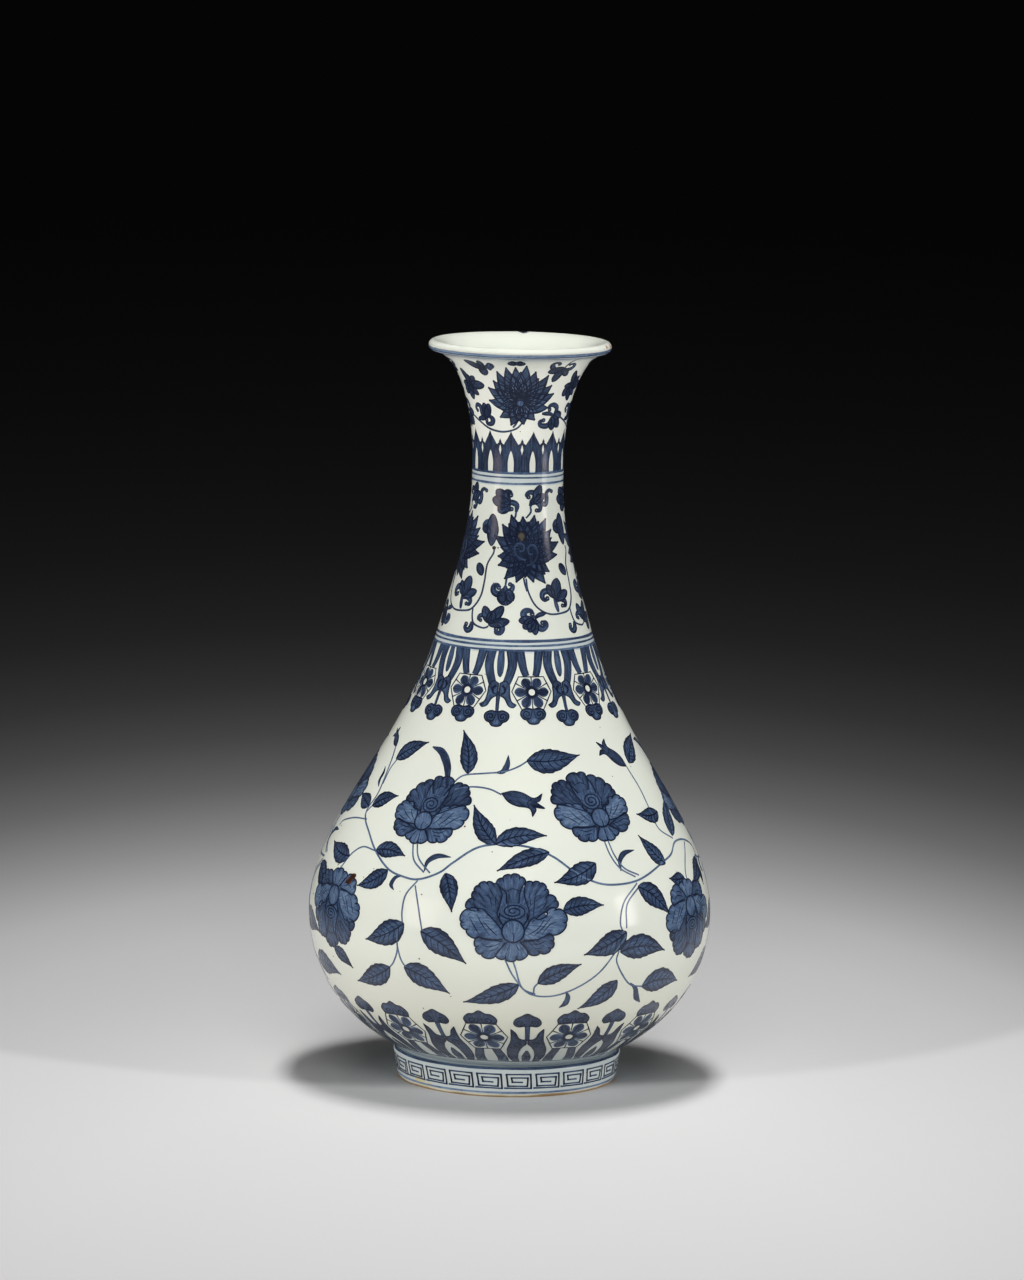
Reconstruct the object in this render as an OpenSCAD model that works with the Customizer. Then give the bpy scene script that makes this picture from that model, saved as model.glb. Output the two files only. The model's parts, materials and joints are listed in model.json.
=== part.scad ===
// Yuhuchunping: a pear-shaped porcelain bottle vase with a flared mouth.
// It is thrown in sections, which are lapped and luted together with slip, and then glazed.
// The origin is at the centre of the foot, on the surface that the vase stands on.

/* [Overall] */
// Height from the foot's edge to the top of the lip
total_h = 322; // [300:1:345]

/* [Foot ring] */
// Height of the foot ring
foot_h = 13; // [9:0.5:18]
// Glazed diameter of the foot ring where it stands
foot_base_d = 94.6; // [84:0.2:106]
// How far the wall of the foot ring leans out from its edge to its top
foot_spread = 2.2; // [0:0.1:4]
// Thickness of the foot ring's clay
foot_wall = 6; // [4.5:0.25:8]
// Bevel on the clay edges of the foot ring
foot_bevel = 0.8; // [0.4:0.1:1.2]
// Height of bare clay left above the edge that the vase stands on
bare_edge = 1.6; // [1:0.1:3]
// Depth to which the base plugs into the foot ring
plug_h = 3.5; // [2:0.25:5]

/* [Body] */
// How far the body is set in from the top edge of the foot ring
root_inset = 3.5; // [2:0.1:5]
// Angle of the body's wall above the horizontal where it leaves the foot ring
root_angle = 26.5; // [15:0.5:50]
// How far the body keeps that angle, as a share of the rise to the belly
root_reach = 0.24; // [0.1:0.01:0.4]
// Glazed diameter of the belly
belly_d = 174.4; // [150:0.2:200]
// Height of the widest part of the belly
belly_z = 74.6; // [60:0.2:95]
// Fullness of the belly below its widest part, as a share of the rise from the foot
belly_full_low = 0.625; // [0.4:0.005:0.8]
// Fullness of the belly above its widest part, as a share of the rise to the shoulder joint
belly_full_high = 0.295; // [0.15:0.005:0.5]
// Glazed diameter at the joint between the body and the neck
shoulder_d = 68.2; // [58:0.2:80]
// Height of the joint between the body and the neck
shoulder_z = 193.6; // [170:0.2:210]
// Slope of the wall at that joint, measured from the vertical
shoulder_angle = 16.5; // [8:0.5:26]
// Reach of that slope down into the body, as a share of the rise from the belly
shoulder_reach_low = 0.42; // [0.2:0.01:0.6]
// Reach of that slope up into the neck, as a share of the rise to the straight of the neck
shoulder_reach_high = 0.29; // [0.15:0.01:0.45]

/* [Neck and mouth] */
// Glazed diameter of the straight of the neck
neck_d = 39.2; // [34:0.1:46]
// Height of the lower end of the straight of the neck
neck_z = 260; // [240:1:265]
// Length of the straight of the neck
neck_straight = 12; // [8:0.5:18]
// Reach of the straight down into the neck's curve, as a share of the rise from the shoulder joint
neck_reach_low = 0.29; // [0.15:0.005:0.5]
// Reach of the straight up into the mouth's flare, as a share of the flare's rise
neck_reach_high = 0.38; // [0.2:0.01:0.55]
// Glazed diameter of the lip
mouth_d = 78.6; // [66:0.2:92]
// Thickness of the rounded lip
lip_t = 4.6; // [3.6:0.1:6]
// Slope of the flare above the horizontal where it meets the lip
lip_angle = 8; // [0:0.5:20]
// Reach of that slope back into the flare, as a share of the flare's spread
lip_reach = 0.7; // [0.4:0.01:0.85]

/* [Wall] */
// Thickness of the base, glaze included
base_t = 7.5; // [5:0.25:10]
// Thickness of the wall at the foot, glaze included
wall_root = 6.5; // [5:0.25:8]
// Thickness of the wall at the belly, glaze included
wall_belly = 5; // [4:0.1:6]
// Thickness of the wall at the shoulder joint, glaze included
wall_shoulder = 4.4; // [3.6:0.1:5.5]
// Thickness of the wall along the straight of the neck, glaze included
wall_neck = 4; // [3.4:0.1:5]
// Thickness of the glaze
glaze_t = 0.4; // [0.2:0.05:0.6]

/* [Joints] */
// Length by which two sections lap at a joint
lap = 5; // [3:0.25:6]
// Thickness of the slip that lutes two sections together
luting_t = 0.5; // [0.3:0.05:0.8]

/* [Hidden] */

$fn = 180;
// Straight steps along each curved stretch of the wall, and round a quarter turn of the lip
curve_steps = 18;
lip_steps = 8;
// Two places along the wall that are closer than this are one place
same_place = 0.0001;

// Names of the layers in the wall, from its outside to its inside
OUTSIDE = 0;
CLAY_OUT = 1;
LAP_OUT = 2;
LAP_IN = 3;
CLAY_IN = 4;
INSIDE = 5;

lip_r = lip_t / 2;
foot_base_r = foot_base_d / 2;
foot_top_r = foot_base_r + foot_spread;
base_z = foot_h - plug_h;
floor_z = base_z + base_t;
foot_bore_r = foot_base_r - glaze_t - foot_wall;
plug_r = foot_bore_r - luting_t;

// Knots of the glazed outline, as radius and height
root = [foot_top_r - root_inset, foot_h + luting_t];
belly = [belly_d / 2, belly_z];
shoulder = [shoulder_d / 2, shoulder_z];
neck_low = [neck_d / 2, neck_z];
neck_high = [neck_d / 2, neck_z + neck_straight];
lip = [
  mouth_d / 2 - lip_r * (1 - sin(lip_angle)),
  total_h - lip_r * (1 + cos(lip_angle))
];

root_dir = [cos(root_angle), sin(root_angle)];
shoulder_dir = [-tan(shoulder_angle), 1];
lip_dir = [1, tan(lip_angle)];
up = [0, 1];

body_rise = belly[1] - root[1];
shoulder_rise = shoulder[1] - belly[1];
neck_rise = neck_low[1] - shoulder[1];
flare_rise = lip[1] - neck_high[1];
flare_spread = lip[0] - neck_high[0];

// Each stretch of the outline is a cubic curve, given by two knots and the handles between them
STRETCHES = [
  [root, root + root_dir * body_rise * root_reach, belly - up * body_rise * belly_full_low, belly],
  [belly, belly + up * shoulder_rise * belly_full_high,
    shoulder - shoulder_dir * shoulder_rise * shoulder_reach_low, shoulder],
  [shoulder, shoulder + shoulder_dir * neck_rise * shoulder_reach_high,
    neck_low - up * neck_rise * neck_reach_low, neck_low],
  [neck_low, neck_low + up * neck_straight / 3, neck_high - up * neck_straight / 3, neck_high],
  [neck_high, neck_high + up * flare_rise * neck_reach_high,
    lip - lip_dir * flare_spread * lip_reach, lip]
];
WALLS = [wall_root, wall_belly, wall_shoulder, wall_neck, wall_neck, lip_t];
STEPS = [curve_steps, curve_steps, curve_steps, 1, curve_steps];

// Places along the wall, counted in stretches from the foot: its ends, and where sections are joined
KNOTS = [root, belly, shoulder, neck_low, neck_high, lip];
function place(knot) = [for (i = [0 : len(KNOTS) - 1]) if (KNOTS[i] == knot) i][0];
ROOT = place(root);
BELLY = place(belly);
SHOULDER = place(shoulder);
NECK = (place(neck_low) + place(neck_high)) / 2;
LIP = place(lip);

// The stretch that a place u lies on, and how far along that stretch it lies
function stretch(u) = min(floor(u), len(STRETCHES) - 1);
function along(u) = u - stretch(u);

function curve(p, t) =
  pow(1 - t, 3) * p[0] + 3 * t * pow(1 - t, 2) * p[1] + 3 * t * t * (1 - t) * p[2] + pow(t, 3) * p[3];
function curve_speed(p, t) =
  3 * pow(1 - t, 2) * (p[1] - p[0]) + 6 * t * (1 - t) * (p[2] - p[1]) + 3 * t * t * (p[3] - p[2]);

function speed(u) = curve_speed(STRETCHES[stretch(u)], along(u));
function tangent(u) = speed(u) / norm(speed(u));
// Points from the outside of the wall to its inside
function inward(u) = [-tangent(u)[1], tangent(u)[0]];

function wall(u) = WALLS[stretch(u)] * (1 - along(u)) + WALLS[stretch(u) + 1] * along(u);
function depth(u, layer) = [
  0,
  glaze_t,
  (wall(u) - luting_t) / 2,
  (wall(u) + luting_t) / 2,
  wall(u) - glaze_t,
  wall(u)
][layer];

// The point of the wall at place u in a layer, and a run of such points
function at(u, layer) = curve(STRETCHES[stretch(u)], along(u)) + inward(u) * depth(u, layer);
function places(from, to) = concat(
  [from],
  [for (k = [0 : len(STRETCHES) - 1]) for (i = [0 : STEPS[k] - 1]) let (u = k + i / STEPS[k])
    if (u > from + same_place && u < to - same_place) u],
  [to]
);
function run(from, to, layer) = [for (u = places(from, to)) at(u, layer)];
function back(points) = [for (i = [len(points) - 1 : -1 : 0]) points[i]];

// The four edges of the lapped joint at place u. The lower section's tongue stands inside the upper section.
half_luting = luting_t / 2;
function shifted(u, distance) = u + distance / norm(speed(u));
function low_out(u) = shifted(u, -half_luting);
function high_out(u) = shifted(u, half_luting);
function low_in(u) = shifted(u, lap - half_luting);
function high_in(u) = shifted(u, lap + half_luting);

function tongue(u) = [at(low_out(u), LAP_IN), at(low_in(u), LAP_IN)];
function rebate(u) = [at(high_in(u), LAP_OUT), at(high_out(u), LAP_OUT)];

// An arc round the middle of the lip, at a radius r, between two turns from the outside of the wall to its inside.
// It leaves out the two ends of the half round, where a run of the wall already has a point.
lip_clay_r = lip_r - glaze_t;
lip_centre = at(LIP, OUTSIDE) + inward(LIP) * lip_r;
lip_start = 0;
lip_crest = 90;
lip_end = 180;
lip_turn = 90 / lip_steps;
function lip_arc(r, from, to) = [
  for (turn = [max(from, lip_start + lip_turn) : lip_turn : min(to, lip_end - lip_turn)])
    lip_centre - inward(LIP) * r * cos(turn) + tangent(LIP) * r * sin(turn)
];

// The glazed foot wall, and the clay under it
function foot_r(z) = foot_base_r + foot_spread * z / foot_h;
function foot_clay_r(z) = foot_r(z) - glaze_t;
foot_shoulder_z = foot_h - foot_bevel;
seat = at(ROOT, CLAY_OUT);

module turned(points) {
  rotate_extrude() polygon(points);
}

// A section thrown on the wheel, between the joint at its bottom and the joint at its top
module section(bottom, top) {
  turned(concat(
    run(high_out(bottom), low_out(top), CLAY_OUT),
    tongue(top),
    back(run(high_in(bottom), low_in(top), CLAY_IN)),
    rebate(bottom)
  ));
}

// The ring of slip that fills the lapped joint at place u
module luting(u) {
  turned(concat(
    [at(low_out(u), CLAY_OUT)],
    tongue(u),
    [at(low_in(u), CLAY_IN), at(high_in(u), CLAY_IN)],
    rebate(u),
    [at(high_out(u), CLAY_OUT)]
  ));
}

module foot_ring() {
  color("burlywood") turned([
    [foot_bore_r + foot_bevel, 0],
    [foot_clay_r(0) - foot_bevel, 0],
    [foot_clay_r(foot_bevel), foot_bevel],
    [foot_clay_r(foot_shoulder_z), foot_shoulder_z],
    [foot_clay_r(foot_h) - foot_bevel, foot_h],
    [foot_bore_r, foot_h],
    [foot_bore_r, foot_bevel]
  ]);
}

// The bowl of the body, closed by the base, which plugs into the foot ring
module lower_body() {
  color("linen") turned(concat(
    run(ROOT, low_out(BELLY), CLAY_OUT),
    tongue(BELLY),
    back(run(ROOT, low_in(BELLY), CLAY_IN)),
    [
      [0, floor_z - glaze_t],
      [0, base_z],
      [plug_r, base_z],
      [plug_r, seat[1]]
    ]
  ));
}

module upper_body() {
  color("linen") section(BELLY, SHOULDER);
}

module neck() {
  color("linen") section(SHOULDER, NECK);
}

// The flared mouth, up to the rounded lip
module mouth() {
  color("linen") turned(concat(
    run(high_out(NECK), LIP, CLAY_OUT),
    lip_arc(lip_clay_r, lip_start, lip_end),
    back(run(high_in(NECK), LIP, CLAY_IN)),
    rebate(NECK)
  ));
}

// Slip between the foot ring, the base and its plug
module foot_luting() {
  color("wheat") turned([
    [plug_r, base_z],
    [foot_bore_r, base_z],
    [foot_bore_r, foot_h],
    [seat[0], foot_h],
    seat,
    [plug_r, seat[1]]
  ]);
}

module belly_luting() {
  color("wheat") luting(BELLY);
}

module shoulder_luting() {
  color("wheat") luting(SHOULDER);
}

module neck_luting() {
  color("wheat") luting(NECK);
}

// Glaze over the foot wall and the outside, up to the crest of the lip
module outer_glaze() {
  color("aliceblue") turned(concat(
    [
      [foot_clay_r(bare_edge), bare_edge],
      [foot_r(bare_edge), bare_edge],
      [foot_r(foot_shoulder_z), foot_shoulder_z],
      [foot_r(foot_h) - foot_bevel, foot_h + glaze_t],
      [root[0] + glaze_t, foot_h + glaze_t]
    ],
    run(ROOT, LIP, OUTSIDE),
    lip_arc(lip_r, lip_start, lip_crest),
    back(concat(
      [
        [foot_clay_r(foot_shoulder_z), foot_shoulder_z],
        [foot_clay_r(foot_h) - foot_bevel, foot_h],
        [seat[0], foot_h]
      ],
      run(ROOT, low_out(BELLY), CLAY_OUT),
      run(high_out(BELLY), low_out(SHOULDER), CLAY_OUT),
      run(high_out(SHOULDER), low_out(NECK), CLAY_OUT),
      run(high_out(NECK), LIP, CLAY_OUT),
      lip_arc(lip_clay_r, lip_start, lip_crest)
    ))
  ));
}

// Glaze over the inside, from the crest of the lip down to the floor
module inner_glaze() {
  color("aliceblue") turned(concat(
    [[0, floor_z]],
    run(ROOT, LIP, INSIDE),
    back(lip_arc(lip_r, lip_crest, lip_end)),
    lip_arc(lip_clay_r, lip_crest, lip_end),
    back(concat(
      [[0, floor_z - glaze_t]],
      run(ROOT, low_in(BELLY), CLAY_IN),
      run(high_in(BELLY), low_in(SHOULDER), CLAY_IN),
      run(high_in(SHOULDER), low_in(NECK), CLAY_IN),
      run(high_in(NECK), LIP, CLAY_IN)
    ))
  ));
}

// Glaze under the base and down the inside of the foot ring
module base_glaze() {
  color("aliceblue") turned([
    [0, base_z],
    [foot_bore_r, base_z],
    [foot_bore_r, bare_edge],
    [foot_bore_r - glaze_t, bare_edge],
    [foot_bore_r - glaze_t, base_z - glaze_t],
    [0, base_z - glaze_t]
  ]);
}

foot_ring();
lower_body();
upper_body();
neck();
mouth();
foot_luting();
belly_luting();
shoulder_luting();
neck_luting();
outer_glaze();
inner_glaze();
base_glaze();
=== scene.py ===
"""Looks of a pear-shaped porcelain bottle vase, painted in cobalt blue under a glossy glaze.

The clay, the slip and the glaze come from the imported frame. The glaze is turned again as fine skins, and
each band of painting is laid on it as thin films that follow the wall. Angles go round the vase in degrees,
from 0 at the viewer's side, growing to the right. Sizes are in millimetres, apart from those that Blender
asks for in metres.
"""

import json
import math
import random

import bpy
import numpy as np
from mathutils import Matrix, Vector
from mathutils.geometry import delaunay_2d_cdt


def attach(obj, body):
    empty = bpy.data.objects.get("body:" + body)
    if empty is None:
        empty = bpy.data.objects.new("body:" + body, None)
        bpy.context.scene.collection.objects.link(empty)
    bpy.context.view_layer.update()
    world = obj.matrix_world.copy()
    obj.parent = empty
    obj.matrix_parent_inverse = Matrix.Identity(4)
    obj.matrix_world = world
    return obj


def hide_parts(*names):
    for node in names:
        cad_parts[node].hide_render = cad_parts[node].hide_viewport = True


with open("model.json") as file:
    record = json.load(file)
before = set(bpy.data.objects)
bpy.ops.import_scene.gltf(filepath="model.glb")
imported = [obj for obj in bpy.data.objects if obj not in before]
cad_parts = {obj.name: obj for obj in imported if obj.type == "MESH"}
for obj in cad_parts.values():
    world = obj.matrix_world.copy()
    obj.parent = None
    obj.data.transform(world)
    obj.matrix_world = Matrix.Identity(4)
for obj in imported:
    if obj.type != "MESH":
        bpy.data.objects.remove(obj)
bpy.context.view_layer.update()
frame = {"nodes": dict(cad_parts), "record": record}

bl_info = {
    "name": "Yuhuchunping Vase",
    "version": (1, 0, 0),
    "blender": (4, 5, 0),
    "location": "3D View > Sidebar > Vase",
    "description": "Glazes and paints a porcelain bottle vase",
    "category": "Object",
}

BODY = "root"
MM = 0.001
TINY = 1e-9

# Rise of each layer of paint above the glaze, and how far a film reaches down into it
WASH = 0.05
SHADE = 0.075
LINE = 0.10
SUNK = 0.05
UNDER_WASH = WASH - 0.02

# Rise from one film to the next where many of them overlap
OVERLAP = 0.004
PETAL_LIFT = 0.012

# Tones of the paint, from a pale wash to a dark line
SOFT = 0.35
FULL = 0.62
DEEP = 0.8
DARK = 1.0


def linear(*levels):
    """A colour given as screen levels from 0 to 255, as Blender's linear values."""
    shares = [level / 255 for level in levels]
    return tuple(s / 12.92 if s <= 0.04045 else ((s + 0.055) / 1.055) ** 2.4 for s in shares)


# Curves in the flat

def smooth(points, step=0.7, closed=False):
    """A smooth line through the points, with a point about every step."""
    given = np.asarray(points, float)
    count = len(given)
    if closed:
        before, after = given[-1:], given[:2]
    else:
        before, after = 2 * given[:1] - given[1:2], 2 * given[-1:] - given[-2:-1]
    padded = np.vstack([before, given, after])
    line = []
    for i in range(count if closed else count - 1):
        a, b, c, d = padded[i:i + 4]
        cuts = max(1, math.ceil(np.hypot(*(c - b)) / step))
        for t in np.arange(cuts) / cuts:
            line.append(0.5 * (2 * b + (c - a) * t + (2 * a - 5 * b + 4 * c - d) * t * t
                               + (3 * b - a - 3 * c + d) * t ** 3))
    if not closed:
        line.append(given[-1])
    return np.array(line)


def scallops(notches, middle, bulge=0.3, step=0.7):
    """Round lobes between neighbouring notches, which stand out on the side away from the middle."""
    notches = np.asarray(notches, float)
    line = []
    for a, b in zip(notches, notches[1:]):
        chord = b - a
        out = np.array([chord[1], -chord[0]])
        if out @ ((a + b) / 2 - np.asarray(middle)) < 0:
            out = -out
        cuts = max(5, math.ceil(1.4 * np.hypot(*chord) / step))
        for t in (1 - np.cos(math.pi * np.arange(cuts) / cuts)) / 2:
            line.append(a + chord * t + out * bulge * 2 * math.sqrt(t * (1 - t)))
    line.append(notches[-1])
    return np.array(line)


def ellipse(centre, across, up, step=0.7):
    """A line right round an ellipse, which ends where it starts, with a point about every step."""
    cuts = max(8, math.ceil(2 * math.pi * max(across, up) / step))
    turn = np.radians(np.linspace(0, 360, cuts + 1))
    return np.stack([centre[0] + across * np.cos(turn), centre[1] + up * np.sin(turn)], 1)


def spiral(centre, across, up, turns, start, inner=0.12, step=0.6):
    """A flat spiral that winds inward from an ellipse."""
    cuts = max(16, math.ceil(turns * 2 * math.pi * max(across, up) * 0.6 / step))
    share = np.linspace(0, 1, cuts + 1)
    turn = math.radians(start) + share * turns * 2 * math.pi
    size = 1 - (1 - inner) * share
    return np.stack([centre[0] + across * size * np.cos(turn), centre[1] + up * size * np.sin(turn)], 1)


def sided(hand, *points):
    """Points on the right for a hand of 1, or their mirror image on the left for -1."""
    return np.array(points, float) * [hand, 1]


def symmetric(side, tip):
    """Points along one side to the tip in the middle and back along the mirror image of that side."""
    side = np.asarray(side, float)
    return np.vstack([side, [tip], side[::-1] * [-1, 1]])


def joined(*lines, apart=0.02):
    """One closed outline from lines that run on from each other, with each shared point once."""
    points = np.vstack(lines)
    return points[np.hypot(*(points - np.roll(points, 1, axis=0)).T) > apart]


def looped(outline):
    """A closed outline as a line that ends where it starts."""
    return np.vstack([outline, outline[:1]])


def half_widths(widths, count):
    """Half the width at each of so many points, from one width or from widths at even places."""
    widths = np.atleast_1d(widths)
    return np.interp(np.linspace(0, 1, count), np.linspace(0, 1, len(widths)), widths) / 2


def beside(line, half):
    """The lines to the left and to the right of a line, this far from each of its points."""
    along = np.gradient(line, axis=0)
    along /= np.maximum(np.hypot(*along.T), TINY)[:, None]
    side = np.stack([-along[:, 1], along[:, 0]], 1) * half[:, None]
    return line + side, line - side


def lengths(line):
    """How far along a line each of its points lies."""
    return np.r_[0, np.cumsum(np.hypot(*np.diff(line, axis=0).T))]


def inside(points, outline):
    """Which of the points lie inside a closed outline."""
    x, y = points.T
    within = np.zeros(len(points), bool)
    for (ax, ay), (bx, by) in zip(outline, np.roll(outline, 1, axis=0)):
        crosses = (ay > y) != (by > y)
        level = np.where(crosses, (bx - ax) * (y - ay) / np.where(by == ay, 1, by - ay) + ax, np.inf)
        within ^= crosses & (x < level)
    return within


class Drawing:
    """Films of paint in the flat, in mm. Each is closed: a top, an underside and a rim between them."""

    # Columns of faces in a sheet, how widely the streaks of a wash are spread round its root, and how far its
    # inner points keep from its edge, as a share of their step
    SHEET_COLUMNS = 4
    FAN_SPREAD = 9
    EDGE_ROOM = 0.3

    # What the triangulation is asked for: triangles inside the outline, and points this near made one
    INSIDE_ONLY = 1
    MADE_ONE = 1e-6

    def __init__(self):
        self.films = []

    def add(self, points, faces, tone, rise, grain):
        """A film with these points and faces as its top."""
        count = len(points)
        edges = {(a, b) for face in faces for a, b in zip(face, face[1:] + face[:1])}
        rim = [(b, a, a + count, b + count) for a, b in sorted(edges) if (b, a) not in edges]
        under = [tuple(i + count for i in reversed(face)) for face in faces]
        tones = np.broadcast_to(np.asarray(tone, float), (count,))
        self.films.append((points, list(faces) + rim + under, tones, rise, grain))

    def merge(self, other, shift=(0, 0), turn=0.0, lift=0.0):
        """Takes in the films of another drawing, turned, shifted and lifted."""
        c, s = math.cos(math.radians(turn)), math.sin(math.radians(turn))
        for points, faces, tones, rise, grain in other.films:
            moved = points @ np.array([(c, s), (-s, c)]) + np.asarray(shift, float)
            self.films.append((moved, faces, tones, rise + lift, grain))
        return self

    def fill(self, outline, tone, edge=None, rise=WASH, root=None, step=2.0):
        """A wash inside a closed outline. It pools at its edge, and its streaks fan out from the root."""
        ring = np.asarray(outline, float)
        if np.allclose(ring[0], ring[-1]):
            ring = ring[:-1]
        low, high = ring.min(0), ring.max(0)
        columns = np.arange(low[0] + step / 2, high[0], step)
        rows = np.arange(low[1] + step / 2, high[1], step)
        grid = np.stack(np.meshgrid(columns, rows), -1).reshape(-1, 2)
        grid = grid[inside(grid, ring)]
        if len(grid):
            gap = np.hypot(*(grid[:, None] - ring[None]).transpose(2, 0, 1))
            grid = grid[gap.min(1) > self.EDGE_ROOM * step]
        sides = [(i, (i + 1) % len(ring)) for i in range(len(ring))]
        corners = [Vector(p) for p in np.vstack([ring, grid])]
        result = delaunay_2d_cdt(corners, sides, [], self.INSIDE_ONLY, self.MADE_ONE)
        made, _, faces, origins, _, _ = result
        flat = np.array([tuple(p) for p in made])
        pooled = tone if edge is None else edge
        tones = [pooled if not given or min(given) < len(ring) else tone for given in origins]
        upright = []
        for face in faces:
            a, b, c = (flat[i] for i in face[:3])
            area = (b[0] - a[0]) * (c[1] - a[1]) - (b[1] - a[1]) * (c[0] - a[0])
            upright.append(tuple(face) if area > 0 else tuple(reversed(face)))
        self.add(flat, upright, tones, rise, self.streaks(flat, root))

    def streaks(self, points, root):
        """Places across and along the streaks of a wash, which run up the drawing or out from a root."""
        if root is None:
            return points
        away = points - np.asarray(root, float)
        return np.stack([np.arctan2(away[:, 0], away[:, 1]) * self.FAN_SPREAD, np.hypot(*away.T)], 1)

    def stroke(self, line, width, tone=DARK, rise=LINE):
        """A brush stroke along a line. Its width is one number, or numbers at even places along it."""
        line = np.asarray(line, float)
        count = len(line)
        points = np.stack(beside(line, half_widths(width, count)), 1).reshape(-1, 2)
        faces = [(2 * i, 2 * i + 1, 2 * i + 3, 2 * i + 2) for i in range(count - 1)]
        grain = np.stack([np.tile([0.0, 1.0], count), np.repeat(lengths(line), 2)], 1)
        self.add(points, faces, tone, rise, grain)

    def bordered(self, outline, tone, edge, border, root=None, step=2.0):
        """A wash inside a closed outline, with a dark line of this width right round it."""
        self.fill(outline, tone, edge, WASH, root, step)
        self.stroke(looped(outline), border)

    def sheet(self, left, right, tone, edge):
        """A wash between a left and a right edge that run side by side."""
        share = np.linspace(0, 1, self.SHEET_COLUMNS + 1)[None, :, None]
        grid = left[:, None] * (1 - share) + right[:, None] * share
        rows, width = grid.shape[:2]
        faces = [(i * width + j, i * width + j + 1, (i + 1) * width + j + 1, (i + 1) * width + j)
                 for i in range(rows - 1) for j in range(width - 1)]
        tones = np.full((rows, width), tone)
        tones[:, [0, -1]] = edge
        across = (share[..., 0] - 0.5) * np.hypot(*(right - left).T)[:, None]
        along = np.broadcast_to(lengths(left)[:, None], across.shape)
        grain = np.stack([across, along], -1).reshape(-1, 2)
        self.add(grid.reshape(-1, 2), faces, tones.ravel(), WASH, grain)


# The wall of the vase

ON_SEAM = 1e-7
GLAZE_SIDES = 224

# Height of the middle of the neck, from the mount in its bore
WAIST = next(m["pos_m"][2] for m in frame["record"]["mounts"] if m["name"] == "neck_bore") / MM

# The groove over the foot ring is the narrowest place below this height and past this run up the wall
GROOVE_BELOW = 25
GROOVE_PAST = 8

# How the thrown wall strays: the share of each wave, its count round the vase, and its length up the wall
THROWING_WAVES = ((0.5, 2, 60), (0.3, 3, -34), (0.2, 1, 3.4))


def seam_links(node):
    """How the points of a turned node's outline are linked, at +X, as radius and height in mm."""
    mesh = frame["nodes"][node].data
    spots = {}
    for vertex in mesh.vertices:
        if abs(vertex.co.y) < ON_SEAM and vertex.co.x > -ON_SEAM:
            spots[vertex.index] = (round(vertex.co.x / MM, 3), round(vertex.co.z / MM, 3))
    links = {}
    for edge in mesh.edges:
        a, b = (spots.get(i) for i in edge.vertices)
        if a and b and a != b:
            links.setdefault(a, set()).add(b)
            links.setdefault(b, set()).add(a)
    return links


def followed(links, start):
    """The outline from its start up to the crest of the lip."""
    crest = max(p for p in links if p[1] > WAIST)
    line = [start, max(links[start], key=lambda p: (p[1], p[0]))]
    while line[-1] != crest:
        line.append(next(p for p in links[line[-1]] if p != line[-2]))
    return np.array(line)


def softened(line, reach=0.7, sharp=15.0, rounds=3):
    """A line with its corners cut, as glaze runs round them. A sharp corner is cut only within its reach."""
    points = [line[0]]
    for a, b, c in zip(line, line[1:], line[2:]):
        before, after = b - a, c - b
        turn = math.degrees(abs(math.atan2(before[0] * after[1] - before[1] * after[0], before @ after)))
        for way, near in ((-before, True), (after, False)):
            length = np.hypot(*way)
            extra = [b + way / length * reach] if turn > sharp and length > 2 * reach else []
            points += extra + [b] if near else extra
    points = np.array(points + [line[-1]])
    for _ in range(rounds):
        cut = np.stack([0.75 * points[:-1] + 0.25 * points[1:], 0.25 * points[:-1] + 0.75 * points[1:]], 1)
        points = np.vstack([points[:1], cut.reshape(-1, 2), points[-1:]])
    return points


class Wall:
    """One glazed side of the vase: a line of radius and height that is turned about the axis."""

    def __init__(self, line, outward, wobble):
        self.radius, self.height = line.T
        self.run = lengths(line)
        slope_r = np.gradient(self.radius, self.run)
        slope_z = np.gradient(self.height, self.run)
        size = np.hypot(slope_r, slope_z) * (1 if outward else -1)
        self.normal_r, self.normal_z = slope_z / size, -slope_r / size
        self.wobble = wobble
        low = self.height < GROOVE_BELOW
        past = np.where(self.run[low] > GROOVE_PAST, self.radius[low], np.inf)
        self.groove = self.run[low][np.argmin(past)]

    def at(self, angle, run, rise):
        """Points in metres at these angles and runs along the line, this far off the glaze."""
        turn = np.radians(angle)
        strays = sum(share * np.sin(count * turn + run / length) for share, count, length in THROWING_WAVES)
        off = rise + self.wobble * strays
        radius = self.radius_at(run) + off * np.interp(run, self.run, self.normal_r)
        height = np.interp(run, self.run, self.height) + off * np.interp(run, self.run, self.normal_z)
        return np.stack([radius * np.sin(turn), -radius * np.cos(turn), height], -1) * MM

    def radius_at(self, run):
        return np.interp(run, self.run, self.radius)

    def run_at(self, height):
        """How far up the wall a height above the foot ring's top lies."""
        above = self.run > self.groove + 1
        return np.interp(height, self.height[above], self.run[above])

    def degrees(self, length, run):
        """The angle that a length along a level line takes up."""
        return np.degrees(length / self.radius_at(run))

    def rows(self, longest=1.6, turn=5.0):
        """Runs for the rows of a skin: closer together where the line bends."""
        heading = np.degrees(np.unwrap(np.arctan2(self.normal_z, self.normal_r)))
        picked = [0]
        for i in range(1, len(self.run) - 1):
            last = picked[-1]
            if self.run[i] - self.run[last] >= longest or abs(heading[i] - heading[last]) >= turn:
                picked.append(i)
        return self.run[picked + [len(self.run) - 1]]


def outside_wall(wobble):
    """The outside, from the outer edge of the foot up to the crest of the lip."""
    links = seam_links("outer_glaze")
    lowest = min(height for _, height in links)
    start = max(p for p in links if p[1] == lowest)
    return Wall(softened(followed(links, start)), True, wobble)


def inside_wall():
    """The inside, from the middle of the floor up to the crest of the lip."""
    links = seam_links("inner_glaze")
    start = max((p for p in links if p[0] == 0), key=lambda p: p[1])
    return Wall(softened(followed(links, start)), False, 0.0)


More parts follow.
